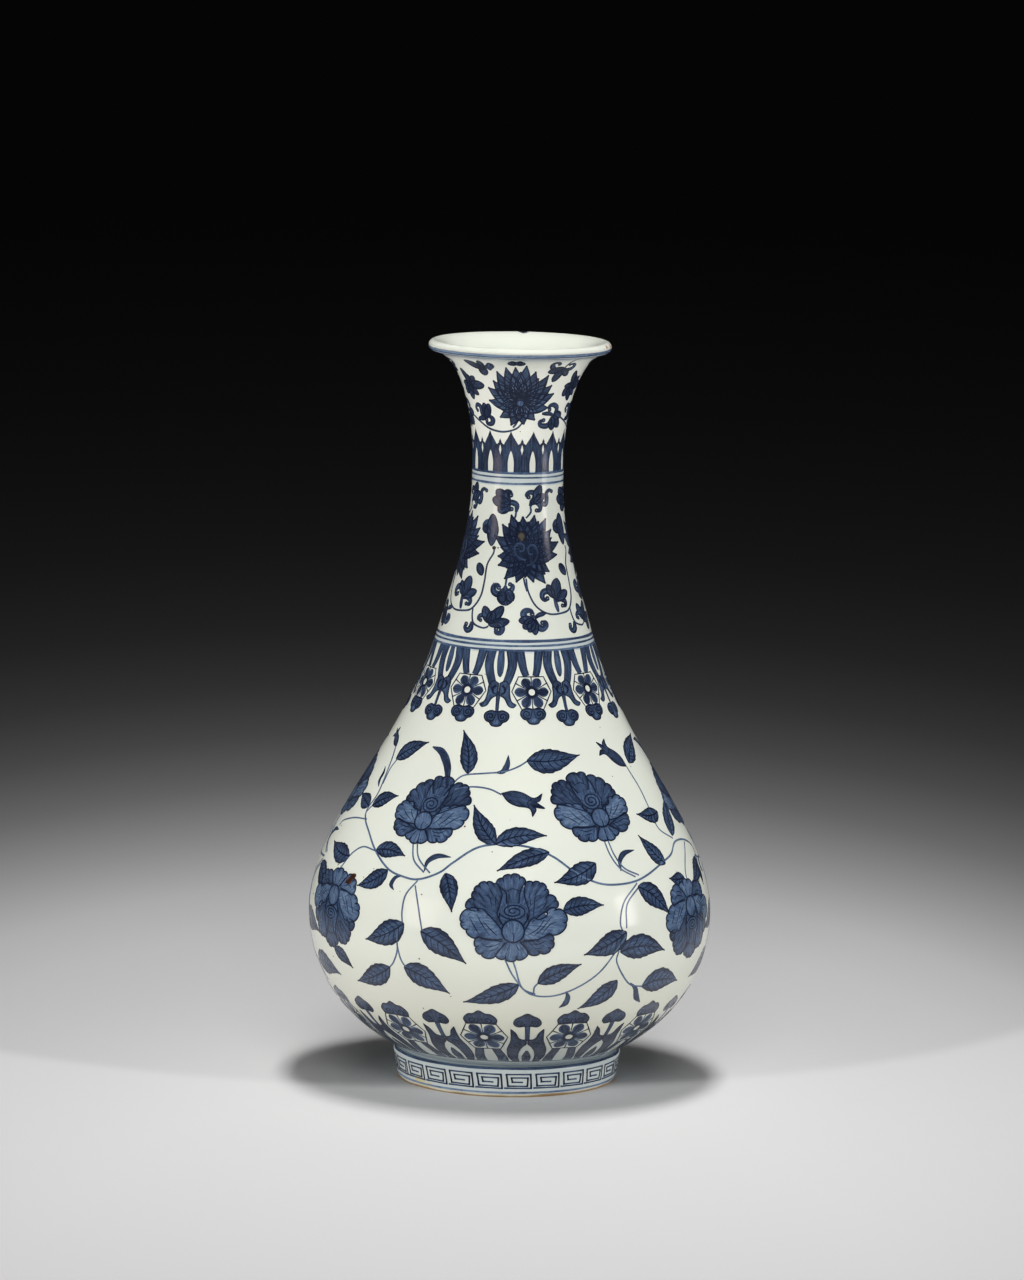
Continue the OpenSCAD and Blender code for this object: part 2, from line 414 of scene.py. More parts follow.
def add_mesh(name, points, faces, smooth_angle=50.0):
    """A new mesh object in the scene, shaded smooth apart from its sharp edges."""
    mesh = bpy.data.meshes.new(name)
    mesh.from_pydata(points, [], faces, shade_flat=False)
    mesh.set_sharp_from_angle(angle=math.radians(smooth_angle))
    mesh.update()
    if mesh.validate():
        raise RuntimeError(f"{name}: the mesh has faulty faces")
    piece = bpy.data.objects.new(name, mesh)
    bpy.context.scene.collection.objects.link(piece)
    return piece


def turned_shell(name, wall, thickness, back_every=4):
    """A closed skin of glaze. Its face follows the wall, and its back, with fewer rows, lies under it."""
    angles = np.arange(GLAZE_SIDES) * 360 / GLAZE_SIDES
    front = wall.rows()
    back = np.r_[front[:-1:back_every], front[-1]]
    closed_below = wall.radius[0] == 0
    points, sheets, poles = [], [], []
    for runs, rise in ((front, 0.0), (back, -thickness)):
        rings = []
        for run in runs:
            if run == 0 and closed_below:
                poles.append(len(points))
                points.append(wall.at(0.0, 0.0, rise))
            else:
                rings.append(len(points))
                points.extend(wall.at(angles, np.full(GLAZE_SIDES, run), rise))
        sheets.append(rings)
    face, under = sheets
    order = face + under[::-1] + ([] if closed_below else face[:1])
    sides = [(i, (i + 1) % GLAZE_SIDES) for i in range(GLAZE_SIDES)]
    faces = [(low + i, low + j, high + j, high + i) for low, high in zip(order, order[1:]) for i, j in sides]
    if closed_below:
        faces = [tuple(reversed(corners)) for corners in faces]
        faces += [(poles[0], face[0] + j, face[0] + i) for i, j in sides]
        faces += [(poles[1], under[0] + i, under[0] + j) for i, j in sides]
    return add_mesh(name, points, faces)


class Painting:
    """Films laid on the wall, gathered as one piece."""

    # Shift of the streaks from one film to the next, so that no two are alike
    GRAIN_SHIFT = 0.37

    def __init__(self, wall):
        self.wall = wall
        self.points, self.faces, self.tones, self.grains = [], [], [], []
        self.count = 0

    def add(self, angle, run, faces, tones, rise, grain):
        """Adds one film, whose underside lies in the glaze."""
        shifted = grain + self.GRAIN_SHIFT * self.count
        self.points += [self.wall.at(angle, run, rise), self.wall.at(angle, run, -SUNK)]
        self.tones += [tones, tones]
        self.grains += [shifted, shifted]
        self.faces += [tuple(i + self.count for i in face) for face in faces]
        self.count += 2 * len(tones)

    def lay(self, drawing, angle, run, turn=0.0, size=1.0, mirror=False, lean=0.0):
        """Lays a drawing with its origin at an angle and a run up the wall. A lean slants it to one side."""
        c, s = math.cos(math.radians(turn)) * size, math.sin(math.radians(turn)) * size
        for points, faces, tones, rise, grain in drawing.films:
            x, y = (points * [-1 if mirror else 1, 1]).T
            across, up = x * c - y * s, x * s + y * c
            angles = angle + self.wall.degrees(across + lean * up, run + up)
            turned = [tuple(reversed(face)) for face in faces] if mirror else faces
            self.add(angles, run + up, turned, tones, rise, grain)

    def stem(self, path, widths, tone, rise=SHADE, step=1.2):
        """A brushed stem along a path of angles and runs."""
        path = np.asarray(path, float)
        ratio = np.radians(self.wall.radius_at(path[:, 1].mean()))
        line = smooth(path * [ratio, 1], step)
        angle, run = line[:, 0] / ratio, line[:, 1]
        per_degree = np.radians(self.wall.radius_at(run))
        along = np.stack([np.gradient(angle) * per_degree, np.gradient(run)], 1)
        along /= np.maximum(np.hypot(*along.T), TINY)[:, None]
        half = half_widths(widths, len(line))
        aside, upward = along[:, 1] * half / per_degree, along[:, 0] * half
        angles = np.stack([angle - aside, angle + aside], 1)
        runs = np.stack([run + upward, run - upward], 1)
        flat = Drawing()
        flat.stroke(line, widths, tone, rise)
        _, faces, tones, _, grain = flat.films[0]
        self.add(angles.ravel(), runs.ravel(), faces, tones, rise, grain)

    def ring(self, run, width, tone, rise=SHADE, unsteady=0.08, cuts=288, longest=0.4):
        """A line painted right round the vase on the wheel."""
        angle = np.arange(cuts) * 360 / cuts
        turn = np.radians(angle)
        half = width / 2 * (1 + unsteady * np.sin(5 * turn + run) + unsteady * np.sin(11 * turn + 2 * run))
        level = run + 0.5 * unsteady * np.sin(3 * turn + run)
        spans = max(1, math.ceil(width / longest))
        row = spans + 1
        count = row * cuts
        angles = np.repeat(angle, row)
        runs = (level[:, None] + half[:, None] * np.linspace(1, -1, row)).ravel()
        faces = []
        for i in range(cuts):
            a, b = i * row, (i + 1) % cuts * row
            for j in range(spans):
                faces.append((a + j, a + j + 1, b + j + 1, b + j))
                faces.append((a + j + count, b + j + count, b + j + 1 + count, a + j + 1 + count))
            faces.append((a, b, b + count, a + count))
            faces.append((a + spans, a + spans + count, b + spans + count, b + spans))
        tones = np.repeat(tone + 0.1 * np.sin(2 * turn + run) + 0.05 * np.sin(7 * turn), row)
        self.add(angles, runs, faces, tones, rise, np.stack([runs, angles], 1))

    def finish(self, name, material):
        """The painted piece, riding on the vase."""
        piece = add_mesh(name, np.vstack(self.points), self.faces)
        tone = piece.data.attributes.new("tone", "FLOAT", "POINT")
        tone.data.foreach_set("value", np.concatenate(self.tones).astype(np.float32))
        flat = np.vstack(self.grains)
        grain = piece.data.attributes.new("grain", "FLOAT_VECTOR", "POINT")
        grain.data.foreach_set("vector", np.pad(flat, ((0, 0), (0, 1))).astype(np.float32).ravel())
        piece.data.materials.append(material)
        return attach(piece, BODY)


# Motifs of the painting

# A leaf's sides: how they swell and close, as powers of the way along it, their peak and their teeth
LEAF_SWELL = 0.85
LEAF_CLOSE = 1.5
LEAF_PEAK = 4.65
LEAF_TEETH = 6.5
LEAF_TOOTH = 0.055
LEAF_TIP = 0.17
LEAF_ROW = 0.9
LEAF_VEINS = np.linspace(0.12, 0.7, 6)
VEIN_RISE = 0.15
VEIN_REACH = 0.86
VEIN_BOW = 0.06


def leaf(length, width, bend, hook):
    """A pointed leaf with toothed sides, from its stalk at the origin to its tip on the y axis."""
    drawing = Drawing()
    rows = max(12, math.ceil(length / LEAF_ROW))
    share = np.linspace(0, 1, rows + 1)
    sway = 4 * bend * share * (1 - share) + hook * (share ** 4 - share)
    spine = length * np.stack([sway, share], 1)
    saw = 1 - LEAF_TOOTH + 2 * LEAF_TOOTH * ((share * LEAF_TEETH) % 1)
    swelling = LEAF_PEAK * share ** LEAF_SWELL * (1 - share) ** LEAF_CLOSE
    left, right = beside(spine, np.maximum(width / 2 * swelling * saw, LEAF_TIP))
    drawing.sheet(left, right, FULL - 0.06, FULL + 0.3)
    for edge in (left, right):
        drawing.stroke(edge, (0.3, 0.5, 0.5, 0.3), DARK - 0.04)
    drawing.stroke(spine, (0.75, 0.6, 0.3))
    for start in LEAF_VEINS:
        for edge in (left, right):
            foot = spine[round(start * rows)]
            end = foot + VEIN_REACH * (edge[min(rows, round((start + VEIN_RISE) * rows))] - foot)
            bowed = (foot + end) / 2 + VEIN_BOW * (end - foot)[::-1] * [1, -1]
            drawing.stroke(smooth([foot, bowed, end], 0.9), (0.46, 0.36, 0.22))
    return drawing


# A bud of length 1: its left side, its left lip, and the point between its lips
BUD_SIDE = ((0, 0), (-0.13, 0.2), (-0.16, 0.42), (-0.12, 0.64), (-0.16, 0.74), (-0.28, 0.82))
BUD_LIP = ((-0.28, 0.82), (-0.12, 0.84), (-0.05, 0.78))
BUD_TIP = ((-0.05, 0.78), (-0.02, 0.88), (0.02, 1.0), (0.05, 0.88), (0.06, 0.78))
BUD_CALYX = ((-0.1, 0.66), (0, 0.6), (0.1, 0.66))


def bud(length):
    """A closed flower on the y axis, which opens in three out-curled points."""
    drawing = Drawing()
    side, lip, tip, calyx = (np.array(line) * length for line in (BUD_SIDE, BUD_LIP, BUD_TIP, BUD_CALYX))
    back = [smooth(line[::-1] * [-1, 1]) for line in (lip, side)]
    outline = joined(smooth(side), smooth(lip), smooth(tip), *back)
    drawing.bordered(outline, DEEP - 0.1, DEEP + 0.1, 0.35, (0, 0), 1.5)
    drawing.stroke(smooth(calyx), 0.4)
    return drawing


# Petals of each peony from its back to its front: the edge from the root up to the first notch, the notches
# between the scallops, the edge from the last one back to the root, the tone of the wash, and the lines drawn
# in it. A ground lies under them.
WIDE_PETALS = (
    (((-3, 12), (-3.4, 16.6)), ((-7.4, 20.6), (-4.7, 23), (-1.2, 24.4), (2.7, 23.8), (5, 21.4)),
     ((3, 17.7), (2.4, 12)),
     0.6, (((-5.4, 18), (-3, 17.6), (-0.5, 18.6), (2, 17.8), (4.2, 17.6)), ((-3, 17), (-3.2, 12.4)),
           ((2.4, 17), (2.5, 12.4)))),
    (((-5, 3.6), (-7, 7.4), (-6, 11), (-5, 16)),
     ((-6.4, 19.7), (-8.8, 20.4), (-11.8, 20.9), (-15.2, 19.4), (-17.1, 17), (-17.6, 13.6), (-20.6, 9.4)),
     ((-13, 6.6), (-6.4, 1.2)),
     0.66, (((-12.8, 15.5), (-10.4, 14.4), (-9.4, 10.5)), ((-17.4, 13.2), (-17, 10.6), (-14, 8.4)),
            ((-7.6, 16), (-7.8, 11)), ((-10.6, 18.6), (-8.8, 15.4)), ((-15.4, 16.6), (-12.6, 12.4)))),
    (((6.4, 5), (6.8, 9), (5.4, 13), (4.6, 17)),
     ((5, 20.8), (8.4, 21.2), (11.4, 21), (14.2, 18.6), (14.6, 15.4), (18.7, 13.4), (19, 10.2)),
     ((13, 8), (6.4, 2)),
     0.56, (((12.2, 15.6), (9.6, 15), (9, 10), (8.6, 6)), ((14.6, 15), (14, 11.6), (11.4, 8.6)),
            ((6.8, 17), (7.6, 11)), ((10.4, 18.4), (9.4, 15.6)), ((16.6, 12), (13.4, 9.4)))),
    (((-4.4, -4.4), (-11, -4)), ((-15, -2.9), (-16, -7.4), (-13.6, -10.4), (-7.4, -10.6)),
     ((-5.4, -8), (-3.4, -5)),
     0.42, (((-13.6, -5.4), (-11.6, -7), (-8.4, -6.6), (-6, -5.4)), ((-12, -9), (-8.6, -8.6), (-6.4, -7)))),
    (((3.4, -4.6), (10, -3.8)), ((15.8, -1.2), (17.6, -4.4), (16.6, -7.6), (12, -9.2), (6.4, -8.8)),
     ((5, -6.6), (3.4, -4.8)),
     0.58, (((14.6, -4), (11, -5.6), (7, -5.4)), ((13, -7.4), (9.6, -7.6)))),
    (((-2.6, -4.8), (-5.6, -8)), ((-7.4, -10.4), (-3.2, -11.8), (1.6, -12.2), (6.6, -8.6)),
     ((4.6, -6.4), (3, -4.8)),
     0.36, (((-1.4, -6), (-2.6, -9)), ((1.4, -6), (3, -8.6)))),
    (((-5.2, 0.8), (-8.1, 4.2), (-10.4, 6.6)),
     ((-11.9, 7.7), (-15.6, 8.8), (-19.2, 8.7), (-22.8, 3.2), (-20.4, 0.2), (-15, -2.9)),
     ((-10, -3.8), (-4.6, -3.6)),
     0.34, (((-19.2, 5.4), (-17.3, 2.2), (-15, -1.4)), ((-13, 4), (-10.5, 1.2), (-7, -2)),
            ((-16, 6.6), (-13.4, 2.4), (-10.6, -1.6)))),
    (((5.2, 0.6), (6.2, 2.4), (7.5, 4.9)), ((9.5, 6), (14.8, 8.3), (19, 9.4), (23.3, 3.6), (16, -0.9)),
     ((11, -3.4), (4.6, -3.8)),
     0.34, (((13.6, 5), (10.9, 1.2), (6.5, -1.6)), ((19.4, 4), (16, 2.8), (12.6, -1.4)),
            ((16.8, 6.4), (13.4, 2), (9.4, -1.8)))),
)
WIDE_GROUND = (
    (0, -9), (-10, -6), (-14, 1), (-11, 9), (-9, 16), (-4, 20), (2, 20.5), (6, 18), (11, 11), (15.5, 4),
    (10, -5.5),
)
FAN_PETALS = (
    (((-7, 11), (-9, 14.6)), ((-10.2, 16.6), (-4.8, 19), (-1.2, 18.6)), ((-1, 15.2), (-2, 12)),
     0.6, (((-7.4, 14.6), (-4.6, 15.4), (-2, 14)), ((-8, 16.4), (-7.2, 14)), ((-3, 17.4), (-3.2, 15)))),
    (((1.6, 7.4), (0.8, 13)), ((-1, 17.4), (3.4, 16.6), (7, 13.8), (9.8, 11.4), (10.6, 8.8)),
     ((7, 7), (2.4, 4)),
     0.62, (((2.4, 14.6), (2, 11), (3, 7.4)), ((5.6, 12.6), (4.4, 9.4)), ((8, 10), (5.6, 7.6)))),
    (((-4.6, 5), (-7, 8), (-8.8, 12)),
     ((-9, 15), (-10.8, 16), (-14.2, 15.8), (-17, 13.4), (-17.4, 10.6), (-18.6, 7)), ((-12, 5.4), (-5, 2.6)),
     0.66, (((-10.6, 13.6), (-10.2, 9.6), (-7.6, 6.4)), ((-14, 13), (-12.4, 9.4), (-9.4, 6.6)),
            ((-16.4, 9.6), (-13, 7)))),
    (((-3, -3.6), (-8, -3.4)), ((-13, -3.2), (-12.4, -7.4), (-8.2, -8.8), (-3.7, -7.6)),
     ((-3, -5.6), (-2.2, -3.9)),
     0.5, (((-10.8, -4.6), (-8, -5.4), (-5, -4.6)), ((-9.4, -7), (-6, -6.4)))),
    (((3.2, -3.4), (7, -1.4)), ((12.4, 0.8), (14, -2), (12.4, -4.4), (7, -5.8)), ((5, -4.8), (3.2, -3.9)),
     0.56, (((12, -1.4), (8.6, -2.4), (5.2, -3)), ((10.4, -4), (7, -4.2)))),
    (((-1.6, -4), (-2.8, -6)), ((-3.7, -7.6), (0.6, -9.2), (4.6, -8), (7, -5.8)), ((4.6, -4.6), (2.8, -3.4)),
     0.36, (((0.2, -4.6), (0.4, -7.6)), ((2.2, -4.4), (4, -6.6)))),
    (((-4, 0.6), (-5.4, 3)), ((-7, 4.9), (-11, 5.8), (-14.2, 6.2), (-17.7, 5.2), (-17.9, -0.2), (-13, -3.4)),
     ((-8, -3.8), (-3.4, -3.2)),
     0.36, (((-9, 3.6), (-7.4, 1), (-5, -1.4)), ((-13, 3.8), (-10.4, 0.6), (-7.4, -1.8)),
            ((-16.6, 2), (-13, 0), (-10, -2.4)))),
    (((3.6, 1.6), (3.6, 3.4)), ((4, 5.2), (6.2, 7), (9, 8), (13, 7.2), (14.6, 3.8), (13.4, 0.8)),
     ((9, -0.6), (3.8, -1.4)),
     0.34, (((7, 5), (6, 2.4), (4.6, 0.6)), ((11, 5), (8.6, 2.4), (6, 0.4)), ((13, 2.6), (9.6, 0.8)))),
)
FAN_GROUND = (
    (0, -7), (-8, -5.5), (-12, 1), (-11, 8), (-10, 13.5), (-6, 17), (-2, 16.5), (3, 14), (8, 9), (11, 4),
    (9, -2.5),
)

# How far the fold at a notch between two scallops runs in
NOTCH_FOLD = 1.6


def peony(petals, ground, middle, heart, heart_size, ball):
    """An upright peony with scalloped petals, a spiral heart and a round petal in front, at the origin."""
    drawing = Drawing()
    drawing.fill(smooth(ground, 1.2, True), 0.5, 0.5, UNDER_WASH, middle)
    over = LINE - WASH
    rise = WASH
    for up, notches, down, tone, veins in petals:
        edge = scallops(notches, middle)
        left, right = smooth([*up, notches[0]]), smooth([notches[-1], *down])
        drawing.fill(joined(left, edge, right), tone - 0.04, tone + 0.18, rise, middle)
        drawing.stroke(np.vstack([left[:-1], edge, right[1:]]), (0.45, 0.6, 0.6, 0.45), DARK, rise + over)
        for notch in np.asarray(notches[1:-1], float):
            towards = np.asarray(middle) - notch
            inward = notch + NOTCH_FOLD * towards / np.hypot(*towards)
            drawing.stroke(smooth([notch, inward]), (0.7, 0.15), DARK, rise + over)
        for vein in veins:
            drawing.stroke(smooth(vein), (0.2, 0.45, 0.25), DARK - 0.08, rise + over)
        rise += PETAL_LIFT
    across, up = heart_size
    drawing.fill(ellipse(heart, across * 1.04, up * 1.06), 0.5, 0.6, rise)
    drawing.stroke(spiral(heart, across, up, 2.4, 200), (0.5, 0.6, 0.45), DARK, rise + over)
    for hand in (-1, 1):
        edge = heart[0] + hand * across
        down = [(edge, heart[1] - 0.6), (edge, heart[1] - up), (hand * ball * 0.9, ball * 0.5)]
        drawing.stroke(smooth(down), 0.5, DARK, rise + over)
    rise += 0.02
    front = ellipse((0, 0), ball, ball)
    drawing.fill(front, 0.3, 0.5, rise, (0, -ball))
    drawing.stroke(front, 0.65, DARK, rise + over)
    fold = [(0.2, -ball), (0.3, -0.35 * ball), (-0.6, -0.1 * ball)]
    drawing.stroke(smooth(fold), (0.5, 0.2), DARK - 0.1, rise + over)
    return drawing


def wide_peony():
    return peony(WIDE_PETALS, WIDE_GROUND, (0, 3), (0, 8.6), (6.0, 3.6), 4.9)


def fan_peony():
    return peony(FAN_PETALS, FAN_GROUND, (-1.5, 3), (-2, 7.4), (4.4, 3.8), 4.0)


# Length of a row of faces in a pointed petal, and half its width at its ends
BRACT_ROW = 0.9
BRACT_TIP = 0.14


def bract(length, width, powers, tone, bow):
    """A pointed petal with a dark edge, which swells and closes with these powers of its length."""
    drawing = Drawing()
    rising, falling = powers
    share = np.linspace(0, 1, max(8, math.ceil(length / BRACT_ROW)) + 1)
    widest = rising / (rising + falling)
    peak = widest ** rising * (1 - widest) ** falling
    half = np.maximum(width / 2 / peak * share ** rising * (1 - share) ** falling, BRACT_TIP)
    spine = 4 * bow * length * share * (1 - share)
    left, right = (np.stack([spine + hand * half, length * share], 1) for hand in (-1, 1))
    drawing.sheet(left, right, tone, tone + 0.2)
    for edge in (left, right):
        drawing.stroke(edge, (0.35, 0.6, 0.4))
    return drawing


def add_petal(drawing, root, tip, width, tone, lift, powers=(0.7, 1.2), bow=0.0):
    """Adds a pointed petal that runs from a root to a tip. Lower powers make its ends rounder."""
    across, up = tip[0] - root[0], tip[1] - root[1]
    petal = bract(math.hypot(across, up), width, powers, tone, bow)
    drawing.merge(petal, root, math.degrees(math.atan2(-across, up)), lift)


# How a lotus's petals differ: in length, in tone, and in how they bow to the side that they stand on
LOTUS_HEART = 6
PETAL_ROOT = 0.12
PETAL_LENGTHS = 0.05
PETAL_TONES = 0.05
PETAL_BOW = 0.007
PETAL_BOW_REACH = 10.0

# The right one of the two spirals in the heart of the neck's lotus
LOTUS_CURL = ((0.2, -5.2), (3.2, -4.0), (5.0, -0.6), (3.6, 2.6), (1.2, 2.0), (1.2, -0.6), (2.8, -0.8))


def lotus(tips, rows):
    """A lotus seen from the side, with its heart at the origin and its outer petals ending at the tips.

    A row gives how far it reaches of the way to the tips, whether it lies between them, its breadth, its
    tone, and how many of the tips it counts for one petal.
    """
    drawing = Drawing()
    drawing.fill(ellipse((0, 0), LOTUS_HEART, LOTUS_HEART), FULL, FULL, UNDER_WASH)
    lift = 0.0
    ends = np.asarray(tips, float)
    for reach, between, broad, tone, every in rows:
        aims = (ends + np.roll(ends, 1, axis=0)) / 2 if between else ends
        for k, aim in enumerate(aims[::every]):
            far = reach * (1 + PETAL_LENGTHS * math.sin(2.4 * k))
            bow = PETAL_BOW * max(-PETAL_BOW_REACH, min(PETAL_BOW_REACH, aim[0]))
            own_tone = tone + PETAL_TONES * math.sin(5.0 * k)
            own_lift = lift + OVERLAP * (k % 2)
            add_petal(drawing, aim * PETAL_ROOT, aim * far, broad, own_tone, own_lift, bow=bow)
        lift += PETAL_LIFT
    return drawing, lift


def spiral_lotus():
    """The lotus of the neck: dark petals all round two spirals on a dark heart."""
    drawing, lift = lotus(NECK_LOTUS_TIPS, (
        (1.02, False, 6.2, DEEP - 0.04, 1),
        (0.86, True, 5.6, DEEP - 0.02, 1),
        (0.6, False, 5.0, FULL + 0.06, 1),
    ))
    drawing.fill(ellipse((0, -1), 4.8, 4.2), DEEP + 0.08, DEEP, LINE - 0.02 + lift, step=1.2)
    for hand in (-1, 1):
        line = smooth(sided(hand, *LOTUS_CURL), 0.6) * [1, 1 + 0.1 * hand] + [0, -0.6 * hand]
        drawing.stroke(line, (0.6, 0.9, 0.9, 0.8, 0.6), FULL + 0.08, LINE + lift)
    return drawing


def layered_lotus():
    """The lotus of the mouth: rows of narrow petals that close towards its heart."""
    drawing, lift = lotus(MOUTH_LOTUS_TIPS, (
        (1.03, False, 5.4, FULL, 1),
        (0.82, True, 5.2, FULL - 0.14, 1),
        (0.54, False, 5.0, FULL - 0.26, 2),
    ))
    drawing.fill(ellipse((0, 0), 1.5, 1.4), SOFT + 0.1, SOFT + 0.2, LINE + lift, step=0.9)
    drawing.stroke(ellipse((0, 0), 1.6, 1.5), 0.5, DARK, LINE + lift + 0.01)
    return drawing


# Tone of a curled lobe, its widths along its way, and how much broader than given the lobes are painted
CROOK_TONE = DEEP - 0.04
CROOK_SWELL = np.array([0.5, 0.9, 1.1, 1.05, 0.9, 0.75, 0.6])
CROOK_BREADTH = 1.2
LOBE_BREADTH = 1.15


def crook(points, width):
    """A curled lobe: a stroke that swells along its way and ends round, with a paler line along it."""
    drawing = Drawing()
    line = smooth(points, 0.5)
    rise = WASH + 0.02
    drawing.stroke(line, CROOK_SWELL * width, CROOK_TONE, rise)
    drawing.stroke(ellipse(line[-1], 0.26 * width, 0.26 * width), 0.34 * width, CROOK_TONE, rise + OVERLAP)
    middle = line[len(line) // 5: -len(line) // 4]
    drawing.stroke(middle, (0.15, 0.3 * width, 0.15), CROOK_TONE - 0.26, SHADE + 0.02)
    return drawing


def spray(crooks, lobes):
    """A curling leaf of crooks, each a line and a width, and lobes, each a root, a tip and a breadth."""
    drawing = Drawing()
    for k, (root, tip, width) in enumerate(lobes):
        add_petal(drawing, root, tip, LOBE_BREADTH * width, DEEP - 0.08, OVERLAP * k, (0.65, 0.6))
    for line, width in crooks:
        drawing.merge(crook(line, CROOK_BREADTH * width))
    return drawing


# The right side of a cloud head of half width 1 and height 1, from its top down
RUYI_SIDE = ((0.45, 0), (0.9, -0.16), (1, -0.42), (0.82, -0.66), (0.56, -0.74), (0.36, -0.94))
RUYI_DIP = -0.08


def ruyi(width, height):
    """A hanging cloud head: two lobes with scrolls in them and a third below, from y = 0 down."""
    drawing = Drawing()
    half = width / 2
    points = np.vstack([[(0, RUYI_DIP)], symmetric(RUYI_SIDE, (0, -1))])
    outline = smooth(points * [half, height], 0.6, True)
    drawing.fill(outline, FULL - 0.06, DEEP, WASH, (0, 0), 1.4)
    drawing.fill(ellipse((0, -0.74 * height), 0.24 * half, 0.15 * height), SOFT, FULL - 0.1, SHADE, step=0.9)
    drawing.stroke(looped(outline), 0.6)
    for hand in (-1, 1):
        scroll = spiral((0.5 * half * hand, -0.38 * height), 0.36 * half * hand, 0.26 * height, 1.5, 250)
        drawing.stroke(scroll, (0.6, 0.7, 0.5))
        fold = sided(hand, (0.08, -0.2), (0.22, -0.56), (0.5, -0.74)) * [half, height]
        drawing.stroke(smooth(fold), 0.5, DARK - 0.05)
    return drawing


def reach_of(corners, angle):
    """The direction at an angle, and how far it runs from the middle of a cell to its side."""
    way = np.array([math.cos(math.radians(angle)), math.sin(math.radians(angle))])
    for a, b in zip(corners, np.roll(corners, -1, axis=0)):
        along = b - a
        cross = way[0] * along[1] - way[1] * along[0]
        if abs(cross) < TINY:
            continue
        far = (a[0] * along[1] - a[1] * along[0]) / cross
        share = (a[0] * way[1] - a[1] * way[0]) / cross
        if far > 0 and -1e-6 <= share <= 1 + 1e-6:
            return way, far
    raise RuntimeError("the cell is open")


def floret(half, top, bottom, half_top, half_bottom, side):
    """A six-petalled flower in a six-sided cell, about its centre."""
    drawing = Drawing()
    corners = np.array([(-half_top, top), (half_top, top), (half, side),
                        (half_bottom, -bottom), (-half_bottom, -bottom), (-half, side)], float)
    for a, b in zip(corners, np.roll(corners, -1, axis=0)):
        past = 0.02 * (b - a)
        drawing.stroke(smooth([a - past, (a + b) / 2, b + past], 1.2), (0.4, 0.55, 0.4))
    eye = 0.17 * half
    share = np.linspace(0, 1, 13)
    broad = np.maximum(0.25 * half * np.sin(math.pi * share ** 1.3) ** 0.55, 0.18 * half * (1 - share))
    broad[-1] = 0.2
    for k in range(6):
        way, far = reach_of(corners, 30 + 60 * k)
        drawing.stroke(smooth([way * eye * 1.5, way * far], 1.2), (0.35, 0.4, 0.55))
        way, far = reach_of(corners, 60 * k)
        start, end = 1.3 * eye, 0.88 * far
        spine = way * start + np.outer(share * (end - start), way)
        across = np.outer(broad, (-way[1], way[0]))
        drawing.sheet(spine + across, spine - across, DEEP + 0.06 - 0.14 * (k % 2), SOFT)
    drawing.stroke(ellipse((0, 0), eye * 1.35, eye * 1.35), 0.75 * eye)
    return drawing


def strap(line, widths, tone=FULL + 0.02):
    """A broad painted strap with darker edges."""
    drawing = Drawing()
    centre = smooth(line, 1.1)
    drawing.sheet(*beside(centre, half_widths(widths, len(centre))), tone, tone + 0.2)
    return drawing


def shoulder_floret():
    """A cell that hangs by two straps from the line below the neck, with a cloud head under it."""
    drawing = Drawing()
    drawing.merge(strap([(-2, -11.2), (-3.2, -7.4), (-4.4, 0)], (2.9, 3.6, 4.1)))
    drawing.merge(strap([(2, -11.2), (3.0, -7.4), (4.0, 0)], (2.9, 3.6, 4.1)))
    drawing.merge(ruyi(10.8, 7.2), (0, -25.2))
    drawing.merge(floret(8.6, 6.8, 7.6, 5.4, 4.8, 0.2), (0, -18.2))
    return drawing


def shoulder_pendant():
    """Two straps and a bar that gather in a tulip with out-curled tips, and a cloud head on a stem."""
    drawing = Drawing()
    for hand in (-1, 1):
        drawing.merge(strap(sided(hand, (1.6, -17), (3.4, -13.4), (5, -6.5), (4, 0)), (3.3, 3.7, 4.1, 3.9)))
        over = sided(hand, (0.3, -14.4), (2.6, -13.4), (4.4, -15.4), (4.8, -19), (5.8, -22.4), (8.0, -23.9))
        back = sided(hand, (8.0, -23.9), (6.8, -25.1), (4.6, -24.2), (2.8, -21.2), (0.3, -19.6))
        drawing.bordered(joined(smooth(over), smooth(back)), FULL - 0.14, DEEP - 0.1, 0.45, (0, -14), 1.5)
        curl = sided(hand, (1.2, -15.4), (2.6, -16.6), (2.4, -18.6), (1.2, -19.2))
        drawing.stroke(smooth(curl), (0.9, 1.1, 0.5))
    bar = smooth(symmetric([(-1.2, 0), (-1.6, -5), (-1.2, -10)], (0, -11.8)), 0.9)
    drawing.fill(bar, FULL - 0.1, DEEP - 0.1, step=1.4)
    drawing.merge(strap([(0, -28), (-0.1, -24), (0, -18)], (1.5, 1.6, 2.2)))
    drawing.merge(ruyi(10.6, 7.0), (0, -26.6))
    return drawing


def scrolled_head(outline, tones, root, scroll):
    """A cloud head with two scrolls, which are given as a place, a size, a starting angle and widths."""
    drawing = Drawing()
    drawing.bordered(outline, *tones, 0.5, root, 1.6)
    (x, y), (across, up), start, widths = scroll
    for hand in (-1, 1):
        drawing.stroke(spiral((x * hand, y), across * hand, up, 1.5, start), widths)
    return drawing


def foot_cap():
    """The three-lobed cap over a cell in the lower band."""
    top = smooth(symmetric([(-6.4, 0), (-7.1, 3.0), (-5.0, 5.6), (-2.6, 6.0)], (0, 7.6)))
    outline = joined(top, smooth([(6.4, 0), (0, 0.3), (-6.4, 0)], 1.2))
    scroll = ((3.1, 2.3), (2.5, 1.9), 150, (0.7, 0.75, 0.5))
    return scrolled_head(outline, (FULL + 0.06, DEEP + 0.14), (0, -4), scroll)


